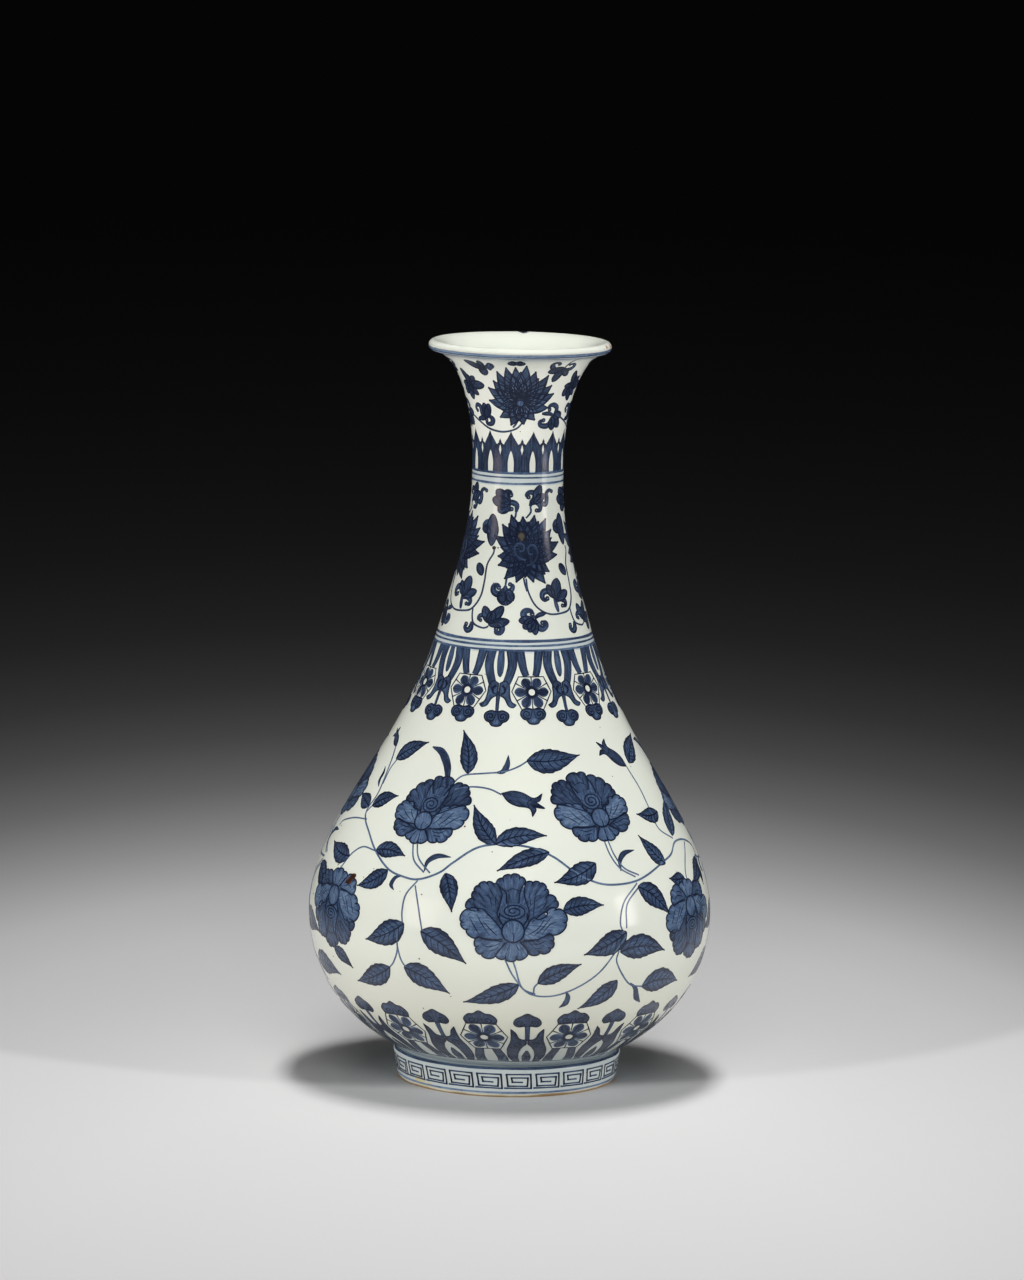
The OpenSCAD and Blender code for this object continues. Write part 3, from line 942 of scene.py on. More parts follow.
def foot_head():
    """The cloud head over a bell in the lower band."""
    top = symmetric([(-5.9, 2.2), (-5.0, 4.8), (-2.6, 6.4)], (0, 7.8))
    outline = smooth([*top, (4.2, 0.2), (1.4, 0.5), (-1.4, 0.5), (-4.2, 0.2)], 0.7, True)
    scroll = ((3.0, 2.6), (2.2, 1.8), 200, (0.65, 0.7, 0.45))
    return scrolled_head(outline, (FULL + 0.08, DEEP + 0.12), (0, -2), scroll)


def foot_floret():
    """A cell on two short legs above the foot, with a cap over it. Its origin is at the feet of the legs."""
    drawing = Drawing()
    for hand in (-1, 1):
        drawing.merge(strap(sided(hand, (4.6, 0), (4.7, 5), (3.6, 12.6)), (4.7, 4.3, 3.8), FULL + 0.14))
    drawing.merge(foot_cap(), (0, 30.6))
    drawing.merge(floret(10.2, 9.4, 9, 6.3, 5.6, 0.6), (0, 21.8))
    return drawing


def foot_pendant():
    """A bell with flared tips, a drop in its arch and a head on a stem. Its origin is between its feet."""
    drawing = Drawing()
    for hand in (-1, 1):
        outer = sided(hand, (5.6, 0), (7.8, 6), (8.3, 13), (7.0, 20), (7.1, 27.8))
        tip = sided(hand, (6.9, 27.6), (4.9, 25.0), (3.6, 21.6), (1.6, 20.4), (0.4, 20.8))
        inner = sided(hand, (0.4, 20.8), (0.4, 17.0), (2.0, 14.6), (3.3, 10.6), (3.6, 5), (2.8, 0))
        outline = joined(smooth(outer), smooth(tip), smooth(inner))
        drawing.bordered(outline, FULL + 0.16, DEEP + 0.16, 0.4, (0, 10), 1.6)
        drawing.stroke(spiral((3.7 * hand, 16.8), 2.3 * hand, 2.4, 1.2, 240), (0.5, 0.7, 0.5))
    drop = smooth(symmetric([(-1.6, 0), (-2.0, 5), (-1.1, 9.4)], (0, 11.4)), 0.9)
    drawing.fill(drop, FULL + 0.16, DEEP + 0.1, step=1.4)
    drawing.merge(strap([(0, 19.6), (0, 24), (0, 30)], (2.0, 2.1, 2.4)))
    return drawing.merge(foot_head(), (0, 29.2))


# Corners of a square of the key fret of width 1 and height 1, and how far its strokes run past them
FRET_TURNS = (
    (-0.05, 0.02), (1, 0), (0.97, 1), (0, 1), (0.07, 0.17),
    (0.84, 0.15), (0.86, 0.75), (0.2, 0.76), (0.24, 0.45), (0.64, 0.44),
)
FRET_PAST = 0.3


def fret(width, height):
    """A square spiral of the key fret, brushed stroke by stroke."""
    drawing = Drawing()
    corners = np.array(FRET_TURNS) * [width, height]
    for k, (a, b) in enumerate(zip(corners, corners[1:])):
        past = (b - a) / np.hypot(*(b - a)) * FRET_PAST
        line = smooth([a - past, (a + b) / 2 + [0.08, 0.06], b + past], 1.2)
        level = abs(b[1] - a[1]) < abs(b[0] - a[0])
        widths, tone = ((0.8, 0.62, 0.72), FULL) if level else ((0.85, 0.75, 0.9), DARK)
        drawing.stroke(line, widths, tone, LINE + OVERLAP * (k % 2))
    return drawing


def plantain(foot, height, slit_half, slit_height, shoulder):
    """A pointed plantain leaf with a slit up its middle, from its two feet to its tip."""
    drawing = Drawing()
    low = [(foot, 0), (foot * 0.98, shoulder * 0.6), (foot * 0.76, shoulder)]
    side = [*low, (foot * 0.2, height * 0.88), (0, height)]
    slit = symmetric([(slit_half, 0), (slit_half * 1.05, slit_height * 0.55)], (0, slit_height))
    outline = joined(smooth(sided(-1, *side)), smooth(side[::-1]), smooth(slit))
    drawing.fill(outline, FULL + 0.08, DEEP + 0.06, WASH, step=1.2)
    rib = [(0, slit_height + 0.4), (0, (slit_height + height) / 2), (0, height - 0.6)]
    drawing.stroke(smooth(rib), (0.5, 1.2, 0.4), DARK - 0.1)
    return drawing


# Places of the painting

# Lines painted on the wheel: height, width and tone
LEVEL_LINES = (
    (266.7, 1.0, 0.46), (264.8, 0.7, 0.42), (262.2, 0.9, 0.34),
    (196.1, 1.2, 0.46), (194.2, 0.9, 0.42), (192.3, 0.9, 0.4),
)

# Lines at the lip: how far below its crest, width, tone and rise
LIP_LINES = ((0.75, 1.5, 0.1, SHADE), (1.3, 0.6, 0.5, LINE), (2.5, 0.6, 0.42, SHADE))

# Lines at the foot: run up the wall, whether that counts from the groove, width and tone
FOOT_LINES = ((11.9, False, 1.5, 0.64), (7.6, True, 0.5, 0.6), (0.7, False, 0.9, 0.1))

# Bands of the painting: how many of each motif go round, and the angle of the first. A foot is a run up the
# wall. The runs of the lower lappets and of the lotus flowers count from the groove.
SHOULDER_CELLS = 9
SHOULDER_FIRST = 11.0
FOOT_CELLS = 12
FOOT_FIRST = -6.2
FOOT_BAND = 8.2
FOOT_LEAN = -0.1
FRET_SQUARES = 24
FRET_FIRST = 0.0
FRET_FOOT = 2.7
FRET_MIDDLE = 6.0
FRET_HEIGHT = 6.4
FRET_BREADTH = 0.85
PLANTAINS = 13
PLANTAIN_FIRST = -9
PLANTAIN_SINK = 0.2
NECK_FLOWERS = 4
NECK_FIRST = 10.5
NECK_FLOWER_RUN = 251.0
MOUTH_FLOWERS = 3
MOUTH_FIRST = 1.5
MOUTH_FLOWER_RUN = 315.0

# Plantain leaves: half their width, height, half the slit's width, its height, and where they start to close
TALL_PLANTAIN = (5.0, 18.4, 1.2, 9.8, 11.2)
SHORT_PLANTAIN = (3.0, 15.2, 0.9, 12.4, 11.6)

# Tips of the petals of each lotus, round from the left
NECK_LOTUS_TIPS = (
    (-12.2, -2.6), (-12.8, 5.8), (-10.4, 11.6), (-5.8, 14.6), (-1.2, 14.6), (4, 15.4), (8.8, 12.8),
    (12.6, 9), (16, 3), (14.8, -2.2), (11, -9.6), (8, -13.4), (3, -13.8), (-4.6, -13.6), (-9.2, -11.6),
    (-12.8, -6.8),
)
MOUTH_LOTUS_TIPS = (
    (-13.8, 0.8), (-13.8, 6.4), (-12.6, 10.6), (-10, 14.4), (-6.6, 17.6), (-2.6, 18.2), (2, 18), (6.4, 16),
    (11.6, 13), (13.4, 8), (15.6, 4.4), (11.8, -2), (6.4, -7.6), (1.6, -9.4), (-3.6, -9.4), (-9, -6.8),
)

# Stems of the lotus scrolls: angles beside the flower, and runs above the groove over the foot ring
NECK_STEMS = (
    ((-0.5, 239), (1, 233.5), (7.5, 227), (18.5, 223.5), (32, 223.5), (41, 225), (47.5, 230.5), (49, 237),
     (49.5, 244.5), (55, 249.5), (55, 252)),
    ((-3, 239.5), (-2, 237), (0, 233.5)),
    ((42, 225), (42.5, 222), (45.5, 218.5), (54.5, 217), (58.5, 218)),
    ((-13.5, 264.5), (-12, 266), (-11.5, 268)),
    ((0.5, 265), (6.5, 267.5), (6, 270)),
    ((-16.5, 240), (-19, 239), (-20, 235)),
)
MOUTH_STEMS = (
    ((3.5, 306.5), (-4.5, 303.5), (-20.5, 302), (-38, 303), (-54.5, 306), (-73.5, 309.5)),
    ((-2.5, 307), (-5, 305.5), (-8, 304)),
    ((44, 340.5), (40, 335.5), (37.5, 331.5)),
    ((26, 310.5), (31, 310.5), (36, 310)),
)

# Curling leaves of the lotus scrolls: angle beside the flower, run above the groove, crooks and lobes
NECK_SPRAYS = (
    (28, 224, (
        (((0, 0), (-0.6, 3.2), (-1.2, 6.8)), 1.6),
        (((-1, 7), (-3.4, 9.2), (-6, 9), (-7, 7), (-6, 5.6), (-4.6, 6.2)), 2.2),
        (((-0.6, 4.6), (2.2, 5.6), (4.6, 4.4), (4.6, 2.6), (2.8, 2.6)), 2.0),
    ), (((-1, 6), (-3.8, 12.2), 3.0), ((0, 5.6), (7, 8.6), 3.4), ((-0.6, 5.6), (1.8, 14.6), 4.6))),
    (15.5, 224, (
        (((0, 0), (-3.2, -0.8), (-5.4, -2.2)), 1.7),
        (((-5.6, -2.8), (-9, -2.6), (-10, -0.2), (-8.6, 1.2), (-6.6, 1), (-6.2, -0.4)), 2.4),
        (((-5.2, -2.6), (-4.4, -5.6), (-2.2, -6.8), (-0.3, -5.4), (-0.7, -4), (-2, -4.2)), 2.3),
    ), (((-5.6, -2.4), (-12.4, -3.4), 3.0), ((-5.6, -2.4), (-10.8, -6.6), 3.2),
        ((-5.6, -2.4), (-8.4, -8.2), 3.2),
        ((-5.6, -2.4), (-5.8, -9.4), 2.8))),
    (60, 220.5, (
        (((-0.6, 0.4), (-3.2, 2), (-5.4, 1.6), (-5.9, 0.3), (-4.8, -0.2)), 1.8),
        (((1, -0.6), (4.2, -1.6), (5.4, -3.6), (4.6, -5.2), (2.9, -5), (2.8, -3.6)), 2.2),
        (((-9, -1.2), (-9.4, -4), (-11.1, -5.2), (-12.5, -4), (-12, -2.6)), 2.2),
    ), (((-0.6, -1.4), (-3.8, 6), 3.4), ((-0.6, -1.4), (4.8, 6.4), 3.8), ((-1, -1.8), (8.2, 0), 3.4),
        ((-0.6, -1.4), (0.6, 4.2), 3.6))),
    (-20, 234.5, (
        (((0.1, 1.4), (0, -0.6), (-0.4, -2)), 1.6),
        (((0, -1.6), (-2.6, -2.6), (-5, -1.4), (-5, 0.8), (-3.4, 1.4), (-2.8, 0.4)), 2.3),
        (((0.4, -1.6), (2.6, -0.6), (3.2, 1.2), (2, 2)), 1.9),
    ), (((-0.6, 0.4), (1.2, -7.2), 6.2), ((-1, -1.2), (-1, -6), 3.4), ((0.6, -0.6), (3.6, -5.4), 3.4))),
    (-11.5, 268, (
        (((0, -0.4), (0.2, 2.4), (-1.8, 3.6), (-3.9, 3.2), (-4.3, 1.5), (-3.2, 0.4), (-2, 0.8)), 2.0),
        (((-3.6, 3), (-4.6, 6), (-4.2, 8), (-2.8, 8), (-2.4, 6.8)), 2.3),
    ), (((-2.6, 3), (-9, 8.8), 4.2), ((-2.6, 3), (-10.8, 4.6), 4.2), ((-2.6, 3), (-8, -0.6), 4.0))),
    (6, 270, (
        (((-0.1, 0), (0.8, 2), (2.2, 3.6), (1.8, 5.6), (-0.4, 6), (-1.6, 4.8), (-0.8, 4)), 2.1),
        (((0.4, 1), (2.8, 1.8), (4.6, 0), (4.2, -1.9), (2.9, -1.8)), 2.0),
        (((3.4, 3), (7, 0.6), (8, 3), (7.8, 5.4), (9.4, 6.6), (10.8, 6)), 1.8),
    ), (((1.6, 1.6), (4.8, 9), 3.2), ((1.6, 1.6), (6.8, 5), 3.0))),
    (51.5, 252.5, (
        (((-0.8, 9.2), (-3, 10), (-4.8, 8.6), (-4.4, 7.2)), 2.2),
        (((0, 0), (1.2, 3), (2, 7), (1, 11)), 1.2),
    ), (((0, 0), (-0.8, 13.8), 4.4), ((-1, 5.8), (-5.6, 7.6), 2.4))),
    (45.5, 239.5, (), (((0, 0), (-3, 5.2), 3.0),)),
)
MOUTH_SPRAYS = (
    (-37, 308.5, (
        (((-2.4, -1), (-4, 0.4), (-4.4, 2.6), (-5, 4.2), (-6.8, 4.6), (-7.8, 3), (-7, 2)), 1.8),
        (((-0.8, 0.4), (1.4, -1.2), (0.8, -3.2), (-1.4, -3.4), (-1.8, -2)), 1.9),
    ), (((-2, -1.4), (-2.4, 5.8), 3.0), ((-2, -1.4), (0.2, 5.6), 3.0), ((-1, -0.6), (-6.8, -1.6), 1.6))),
    (36, 310, (
        (((2.4, -1), (3.6, 2.2), (1.4, 4), (-0.8, 3.4), (-0.4, 1.8)), 1.9),
        (((1.4, -2.4), (-0.6, -5.2), (-3.8, -5), (-4.4, -3.4), (-2.8, -2.8)), 2.0),
        (((-4, 0.2), (0, 0), (3, -1.6)), 1.5),
    ), (((1.6, -1), (7.2, -0.8), 3.2), ((1.6, -1), (6, -6.2), 3.4), ((1.6, -1), (2, -7.4), 3.2))),
    (-34.5, 331.5, (
        (((0.4, 0.4), (3.2, 1.2), (5, 3), (5.6, 1.6), (3.8, 0)), 1.9),
    ), (((0.8, -0.4), (-8, 4.4), 3.0), ((0.4, -1), (0.2, 5.4), 2.6), ((0, 1.4), (0.4, -3.8), 3.6))),
    (-57, 322.5, (), (
        ((0, -0.6), (-3.8, 7.4), 3.0), ((-0.6, -0.6), (4, 4), 2.8), ((-1, -0.4), (8.4, 0.2), 3.4),
        ((0, 1.4), (-2.6, -5.4), 3.8),
        ((1, 0), (-6.4, 0), 2.4))),
    (37.5, 331.5, (
        (((-0.6, 0), (-4.4, 0.2), (-6.6, 2.2), (-6.6, 4.4), (-4.6, 4.6), (-3.6, 3.4)), 1.9),
        (((0.6, -0.4), (4, 0), (5.6, 1.6), (4.2, 3.2), (2.4, 2.8)), 1.8),
    ), (((0.6, 0.6), (-7.2, -1.2), 3.0), ((0.4, 0.6), (-3.2, -6.4), 3.2), ((-0.4, 0.6), (3.8, -3.6), 2.8))),
    (57.5, 322, (), (
        ((0, -0.6), (3, 5), 3.2), ((0.6, 1), (-3.4, -4.2), 3.4), ((0, 1), (1.6, -6.6), 3.4),
        ((-0.4, 0.6), (6, -4.2), 2.8))),
    (-4, 336, (), (
        ((1, 0), (-3.8, -0.2), 2.6), ((-1, 0), (3.8, -0.2), 2.6), ((-1.4, -0.6), (-1.8, 2), 1.4),
        ((1.4, -0.6), (1.8, 2.2), 1.4))),
)
LOTUS_STEM_TONE = 0.66
LOTUS_STEM_WIDTHS = (0.7, 0.9, 0.75)

# Peonies: form, angle, height of the round petal, turn, size, and whether it is mirrored. The lower ones at
# the sides hang.
WIDE, FAN = "wide", "fan"
PEONIES = (
    (FAN, -32.2, 122, 6, 1.04, True), (FAN, 33.6, 124.5, 0, 1.07, False), (WIDE, 1.1, 80.2, 0, 0.97, False),
    (WIDE, -61.4, 86, 178, 0.9, False), (WIDE, 64.2, 83.5, 182, 0.9, True),
    (FAN, 88, 122, 6, 1.0, True), (FAN, 153.5, 124.5, 0, 1.07, False), (WIDE, 121, 80, 0, 1.0, False),
    (FAN, -152, 122, 6, 1.0, True), (FAN, -86.5, 124.5, 0, 1.07, False), (WIDE, -119, 80, 0, 1.0, False),
    (WIDE, 181, 85, 180, 0.9, False),
)

# Leaves: where each leaves its stem and where it ends, as angle and height, its breadth as a share of its
# length, and its bend to the left
LEAVES = (
    ((-60.5, 143.5), (-44, 152.5), 0.42, 0.08), ((-19, 142), (-25, 159), 0.36, -0.08),
    ((6.5, 148), (32, 149.5), 0.44, -0.06), ((-62, 123.5), (-73, 127), 0.5, 0.0),
    ((-60, 124), (-48, 130), 0.44, 0.1), ((-59.5, 103), (-75, 106), 0.4, 0.08),
    ((-47.5, 108), (-35, 107.5), 0.42, 0.1), ((-40, 101), (-51, 92.5), 0.42, 0.1),
    ((-5, 115), (-13.5, 130), 0.4, 0.08), ((-5, 115), (12, 118.5), 0.37, 0.12),
    ((12.5, 112), (-4.5, 104.5), 0.29, -0.05), ((-20, 102.5), (-16.5, 87), 0.44, 0.05),
    ((-31, 80.5), (-44.5, 71), 0.46, 0.08), ((-25.5, 78), (-12, 65.5), 0.42, 0.06),
    ((-36, 60.5), (-50.5, 51), 0.39, 0.06), ((-31, 61.5), (-17.5, 51.5), 0.45, 0.06),
    ((3, 57), (-13, 48), 0.33, 0.06), ((8.5, 57.5), (21, 65.5), 0.37, 0.06),
    ((35, 78), (21.5, 69.5), 0.43, 0.06), ((33, 69.5), (50, 67.5), 0.4, 0.12),
    ((43, 52.5), (60.5, 51.5), 0.42, 0.12), ((33, 57), (22, 45), 0.4, 0.08),
    ((27.5, 107), (13, 100), 0.42, 0.08), ((15.5, 88.5), (28, 90), 0.42, 0.08),
    ((41, 96), (52.5, 82.5), 0.42, 0.08), ((56, 103), (48, 116), 0.42, 0.06),
    ((64.5, 123), (51, 124), 0.42, 0.1), ((67, 112.5), (77, 127), 0.4, 0.06),
    ((61, 143.5), (79, 153.5), 0.42, 0.06), ((64, 96), (55.5, 97), 0.5, 0.1),
    ((-60, 63), (-51.5, 56.5), 0.42, 0.1), ((78, 98.5), (79, 89), 0.4, 0.1),
)

# Small curled leaves of the peony scroll: a line of angles and heights, and the widths along it
HOOKS = (
    (((-7, 143), (-4, 143.5), (-2.2, 146), (-1.8, 150)), (0.5, 2.0, 2.8, 2.0, 0.3)),
    (((-26.5, 135.5), (-27.5, 140), (-29.5, 145), (-34, 149.5), (-40, 151)), (1.0, 2.2, 3.4, 3.8, 3.0, 0.6)),
    (((-27, 102.5), (-26.5, 106.5), (-23.5, 109), (-19, 109)), (0.5, 2.0, 2.6, 1.8, 0.3)),
    (((36, 103), (36.5, 107), (39, 109.8), (43.5, 110.5)), (0.5, 2.0, 2.6, 1.8, 0.3)),
    (((-34.5, 99.5), (-36.5, 98.5), (-37.4, 95.5), (-36, 93.5)), (0.4, 1.8, 2.2, 0.3)),
    (((-62.5, 131.5), (-64.5, 134), (-64.5, 137), (-66, 139.5)), (0.4, 1.8, 2.0, 0.3)),
    (((17, 53.5), (17.8, 51), (17.4, 48), (15.6, 46)), (0.5, 2.2, 2.8, 0.4)),
    (((38, 55), (40.5, 52), (42, 48), (44.5, 45)), (0.5, 2.4, 3.0, 0.4)),
)

HOOK_TONE = FULL + 0.1

# Buds, from the end of the stalk to the tip
BUDS = (((-4, 135), (13, 129.5)), ((58, 142.5), (44.5, 153.5)), ((-66, 148), (-76, 154)))

# Stems of the peony scroll, as angles and heights
MAIN_STEM = (
    (-66.5, 148), (-63.5, 142), (-60.5, 130), (-62, 122), (-59.5, 118), (-54.5, 114), (-47, 107),
    (-40, 101.5), (-34.5, 99.5), (-28.5, 99), (-22, 102.5), (-18, 107), (-11.5, 113), (-5, 115), (1, 115),
    (8, 113.5), (14, 110), (19.5, 104.5), (24.5, 100.5), (31, 98), (41.5, 98.5), (54, 103.5), (61, 106),
    (67, 110), (76, 109), (82.5, 104), (79, 96),
)
SIDE_STEMS = (
    ((-60.5, 133), (-61, 139.5), (-59.5, 143.5)),
    ((-59, 118.5), (-67.5, 117.5), (-76.5, 114.5), (-78.5, 112)),
    ((-47.5, 107.5), (-54, 108), (-58.5, 104.5), (-61.5, 98.5), (-64.5, 94)),
    ((-25.5, 136), (-21, 141), (-12, 142.5), (-3.5, 143.5), (2.5, 145.5), (7, 148)),
    ((-23, 135.5), (-16, 137), (-9, 136.5), (-4, 134.5)),
    ((-61.5, 121), (-61, 122.5), (-60, 124)),
    ((-33.5, 113), (-31.5, 106.5), (-27, 102)),
    ((-32, 113.5), (-30, 107.5), (-25, 102)),
    ((58, 142.5), (60, 134), (60, 126), (60, 117), (66.5, 111.5)),
    ((32.5, 115.5), (33.5, 109.5), (36, 104), (41, 100)),
    ((34, 115.5), (35, 109.5), (37.5, 104), (42.5, 100.5)),
    ((75, 108.5), (72.5, 106), (66.5, 98.5), (65, 90.5)),
    ((41, 97.5), (35, 90.5), (33, 82), (34.5, 76.5)),
    ((42.5, 97), (36, 89.5), (35, 79.5)),
    ((35, 76.5), (32, 71), (26.5, 61), (19.5, 54.5), (12.5, 51.5), (6, 53), (1.5, 60.5), (-1, 68)),
    ((1, 68.5), (2, 64), (4, 55.5), (8, 52.5)),
    ((32.5, 70), (32, 65.5), (35, 58.5), (38.5, 54), (43.5, 52.5)),
    ((7.5, 52.5), (7.5, 55.5), (8.5, 57.5)),
    ((-28.5, 98.5), (-31.5, 92.5), (-32, 86), (-31.5, 80.5)),
    ((-29, 96.5), (-27, 88.5), (-25, 78)),
    ((-31.5, 80.5), (-33, 75.5), (-33, 68.5), (-34.5, 63), (-36, 60.5)),
    ((-33, 71), (-32, 65), (-30.5, 61.5)),
)
STEM_TONE = 0.34
MAIN_STEM_WIDTHS = (0.85, 0.95, 0.85)
SIDE_STEM_WIDTHS = (0.65, 0.75, 0.7)

# The back of the vase repeats what lies between these angles on the front, one period to each side
SCROLL_PERIOD = 120
REPEAT_RIGHT = (-43, 60)
REPEAT_LEFT = (-60, 43)


# Materials

def arithmetic(operation, swapped=False):
    """A method that adds a Math node for a value and another value or number."""
    def apply(self, other):
        first, second = (other, self) if swapped else (self, other)
        return self.nodes.node("Math", "Value", {"operation": operation}, Value=first, Value_001=second)
    return apply


class Value:
    """A socket in a material. Arithmetic on values adds Math nodes."""

    def __init__(self, nodes, socket):
        self.nodes, self.socket = nodes, socket

    __add__ = arithmetic("ADD")
    __radd__ = arithmetic("ADD", swapped=True)
    __sub__ = arithmetic("SUBTRACT")
    __rsub__ = arithmetic("SUBTRACT", swapped=True)
    __mul__ = arithmetic("MULTIPLY")
    __rmul__ = arithmetic("MULTIPLY", swapped=True)
    __truediv__ = arithmetic("DIVIDE")
    __rtruediv__ = arithmetic("DIVIDE", swapped=True)


class Nodes:
    """The nodes of a new material or of a world."""

    def __init__(self, owner):
        owner.use_nodes = True
        self.owner = owner
        self.tree = owner.node_tree
        self.tree.nodes.clear()

    def feed(self, socket, value):
        """Links a value to a socket, or sets the socket to a plain number, colour or vector."""
        if isinstance(value, Value):
            self.tree.links.new(value.socket, socket)
        elif socket.type == "RGBA":
            socket.default_value = (*value[:3], 1.0)
        else:
            socket.default_value = value

    def node(self, kind, output=0, settings=(), **sockets):
        """An output of a new node. Its settings are set, then its sockets, named with _ for a space.

        A node that ends a material or a world has no output to give back.
        """
        node = self.tree.nodes.new("ShaderNode" + kind)
        for name, value in dict(settings).items():
            if name == "stops":
                self.set_stops(node.color_ramp, value)
            else:
                setattr(node, name, value)
        for name, value in sockets.items():
            self.feed(self.socket_of(node, name), value)
        return Value(self, node.outputs[output]) if node.outputs else None

    @staticmethod
    def socket_of(node, name):
        wanted = name.replace("_", " ")
        return next(s for s in node.inputs if s.enabled and (s.name == wanted or s.identifier == name))

    @staticmethod
    def set_stops(ramp, stops):
        while len(ramp.elements) < len(stops):
            ramp.elements.new(1.0)
        for element, (place, colour) in zip(ramp.elements, stops):
            element.position = place
            element.color = (*colour[:3], 1.0)

    def place(self):
        """The place on the piece, in metres in the frame of the vase."""
        return self.node("TexCoord", "Object")

    def noise(self, place, scale, detail=2.0, rough=0.5):
        return self.node("TexNoise", "Fac", Vector=place, Scale=scale, Detail=detail, Roughness=rough)

    def vector(self, operation, output, first, second):
        """Vector Math on two vectors, of which one may be plain."""
        return self.node("VectorMath", output, {"operation": operation}, Vector=first, Vector_001=second)

    def mix(self, share, first, second):
        """A colour between two colours."""
        return self.node("Mix", 2, {"data_type": "RGBA"}, Factor=share, A=first, B=second)

    def step(self, value, low, high):
        """0 below the low value, 1 above the high one and a smooth step between them."""
        smoothed = {"interpolation_type": "SMOOTHSTEP"}
        return self.node("MapRange", "Result", smoothed, Value=value, From_Min=low, From_Max=high)

    def end(self, shader, kind):
        """Ends the nodes in an output of this kind."""
        self.node("Output" + kind, Surface=shader)
        return self.owner

    def surface(self, **sockets):
        """Ends a material in one glossy surface."""
        return self.end(self.node("BsdfPrincipled", "BSDF", **sockets), "Material")


def grey(level):
    return (level, level, level)


# Tones at which the cobalt has its four colours, and how far brush marks are drawn out along a stroke
COBALT_TONES = (0.0, 0.42, 0.74, 1.0)
BRUSH_MARKS = (1.6, 0.16, 1.0)


def cobalt_material(name, paint, gloss):
    """Cobalt under the glaze: pale to dark by tone, with brushed streaks and dark piled spots."""
    nodes = Nodes(bpy.data.materials.new(name))
    place = nodes.place()
    tone = nodes.node("Attribute", "Fac", {"attribute_name": "tone"})
    grain = nodes.node("Attribute", "Vector", {"attribute_name": "grain"})
    streaks = nodes.noise(nodes.node("Mapping", Vector=grain, Scale=BRUSH_MARKS), 1.0, 3.0, 0.6)
    clouds = nodes.noise(place, 95.0, 3.0, 0.55)
    piled = nodes.step(nodes.noise(place, 900.0), 0.62, 0.72)
    wash = tone + (streaks - 0.5) * paint.streaks + (clouds - 0.5) * 0.5 + piled * 0.25
    stops = tuple(zip(COBALT_TONES, (paint.pale, paint.middle, paint.full, paint.dark)))
    colour = nodes.node("ValToRGB", "Color", {"stops": stops}, Fac=wash)
    return nodes.surface(Base_Color=colour, Roughness=0.13 + clouds * 0.06, IOR=1.5, Specular_IOR_Level=gloss)


# Flaws in the glaze: a place in metres, how far it reaches, and its colour. The first two are the bare patch
# on the foot, and the others are at the lip.
FLAWS = (
    ((-0.0375, -0.0298, 0.0024), 0.0042, (206, 196, 152)),
    ((-0.0330, -0.0345, 0.0014), 0.0026, (206, 196, 152)),
    ((0.0370, -0.0118, 0.3210), 0.0016, (146, 98, 54)),
    ((0.0388, -0.0050, 0.3202), 0.0022, (212, 158, 96)),
    ((0.0012, 0.0368, 0.3218), 0.0027, (30, 32, 52)),
)
FLAW_RAGGED = 0.003
FLAW_SOFT = 0.0012

# Belts of another colour in the glaze: from a height, with a soft start of this length, to a height, with a
# soft end, in metres, how strong it is, and its colour. All glaze is creamy and darker low on the body, which
# is in part painted shade, blue and darker on the foot, also in part painted shade, and pooled in the groove
# over it. Outside, cobalt has bled between the painted lines. The glaze there is painted lighter under the
# mouth, as painted light, and painted grey low on the vase and darker, in the colour of pooled glaze, just
# above the foot, as painted shade.
# Painted shade with a cream cast: the glaze low on the body is creamier and darker
CREAM_AND_SHADE_BELTS = ((0.03, 0.014, 0.015, 0.07, 0.8, "cream_and_shade"),)
OUTSIDE_BELTS = (
    (0.3165, 0.0006, 0.3195, 0.0006, 0.55, "bled"),
    (0.2615, 0.0006, 0.2672, 0.0006, 0.4, "bled"),
    (0.1915, 0.0006, 0.1965, 0.0006, 0.4, "bled"),
    # Painted light: the glaze under the mouth is painted lighter
    (0.282, 0.012, 0.309, 0.012, 0.9, "thin"),
    # Painted shade: the glaze low on the vase is painted grey
    (0.0, 0.022, 0.052, 0.022, 0.15, "painted_shade"),
    # Painted shade: darker and bluer glaze just above the foot, in the colour of pooled glaze
    (0.017, 0.01, 0.026, 0.01, 0.3, "pool"),
)
# On the foot the glaze is blue and darker, in part as painted shade; the groove over it holds pooled glaze
FOOT_BELTS = ((-0.01, 0.01, 0.0125, 0.004, 0.45, "blue"), (0.0135, 0.0013, 0.0155, 0.001, 0.5, "pool"))


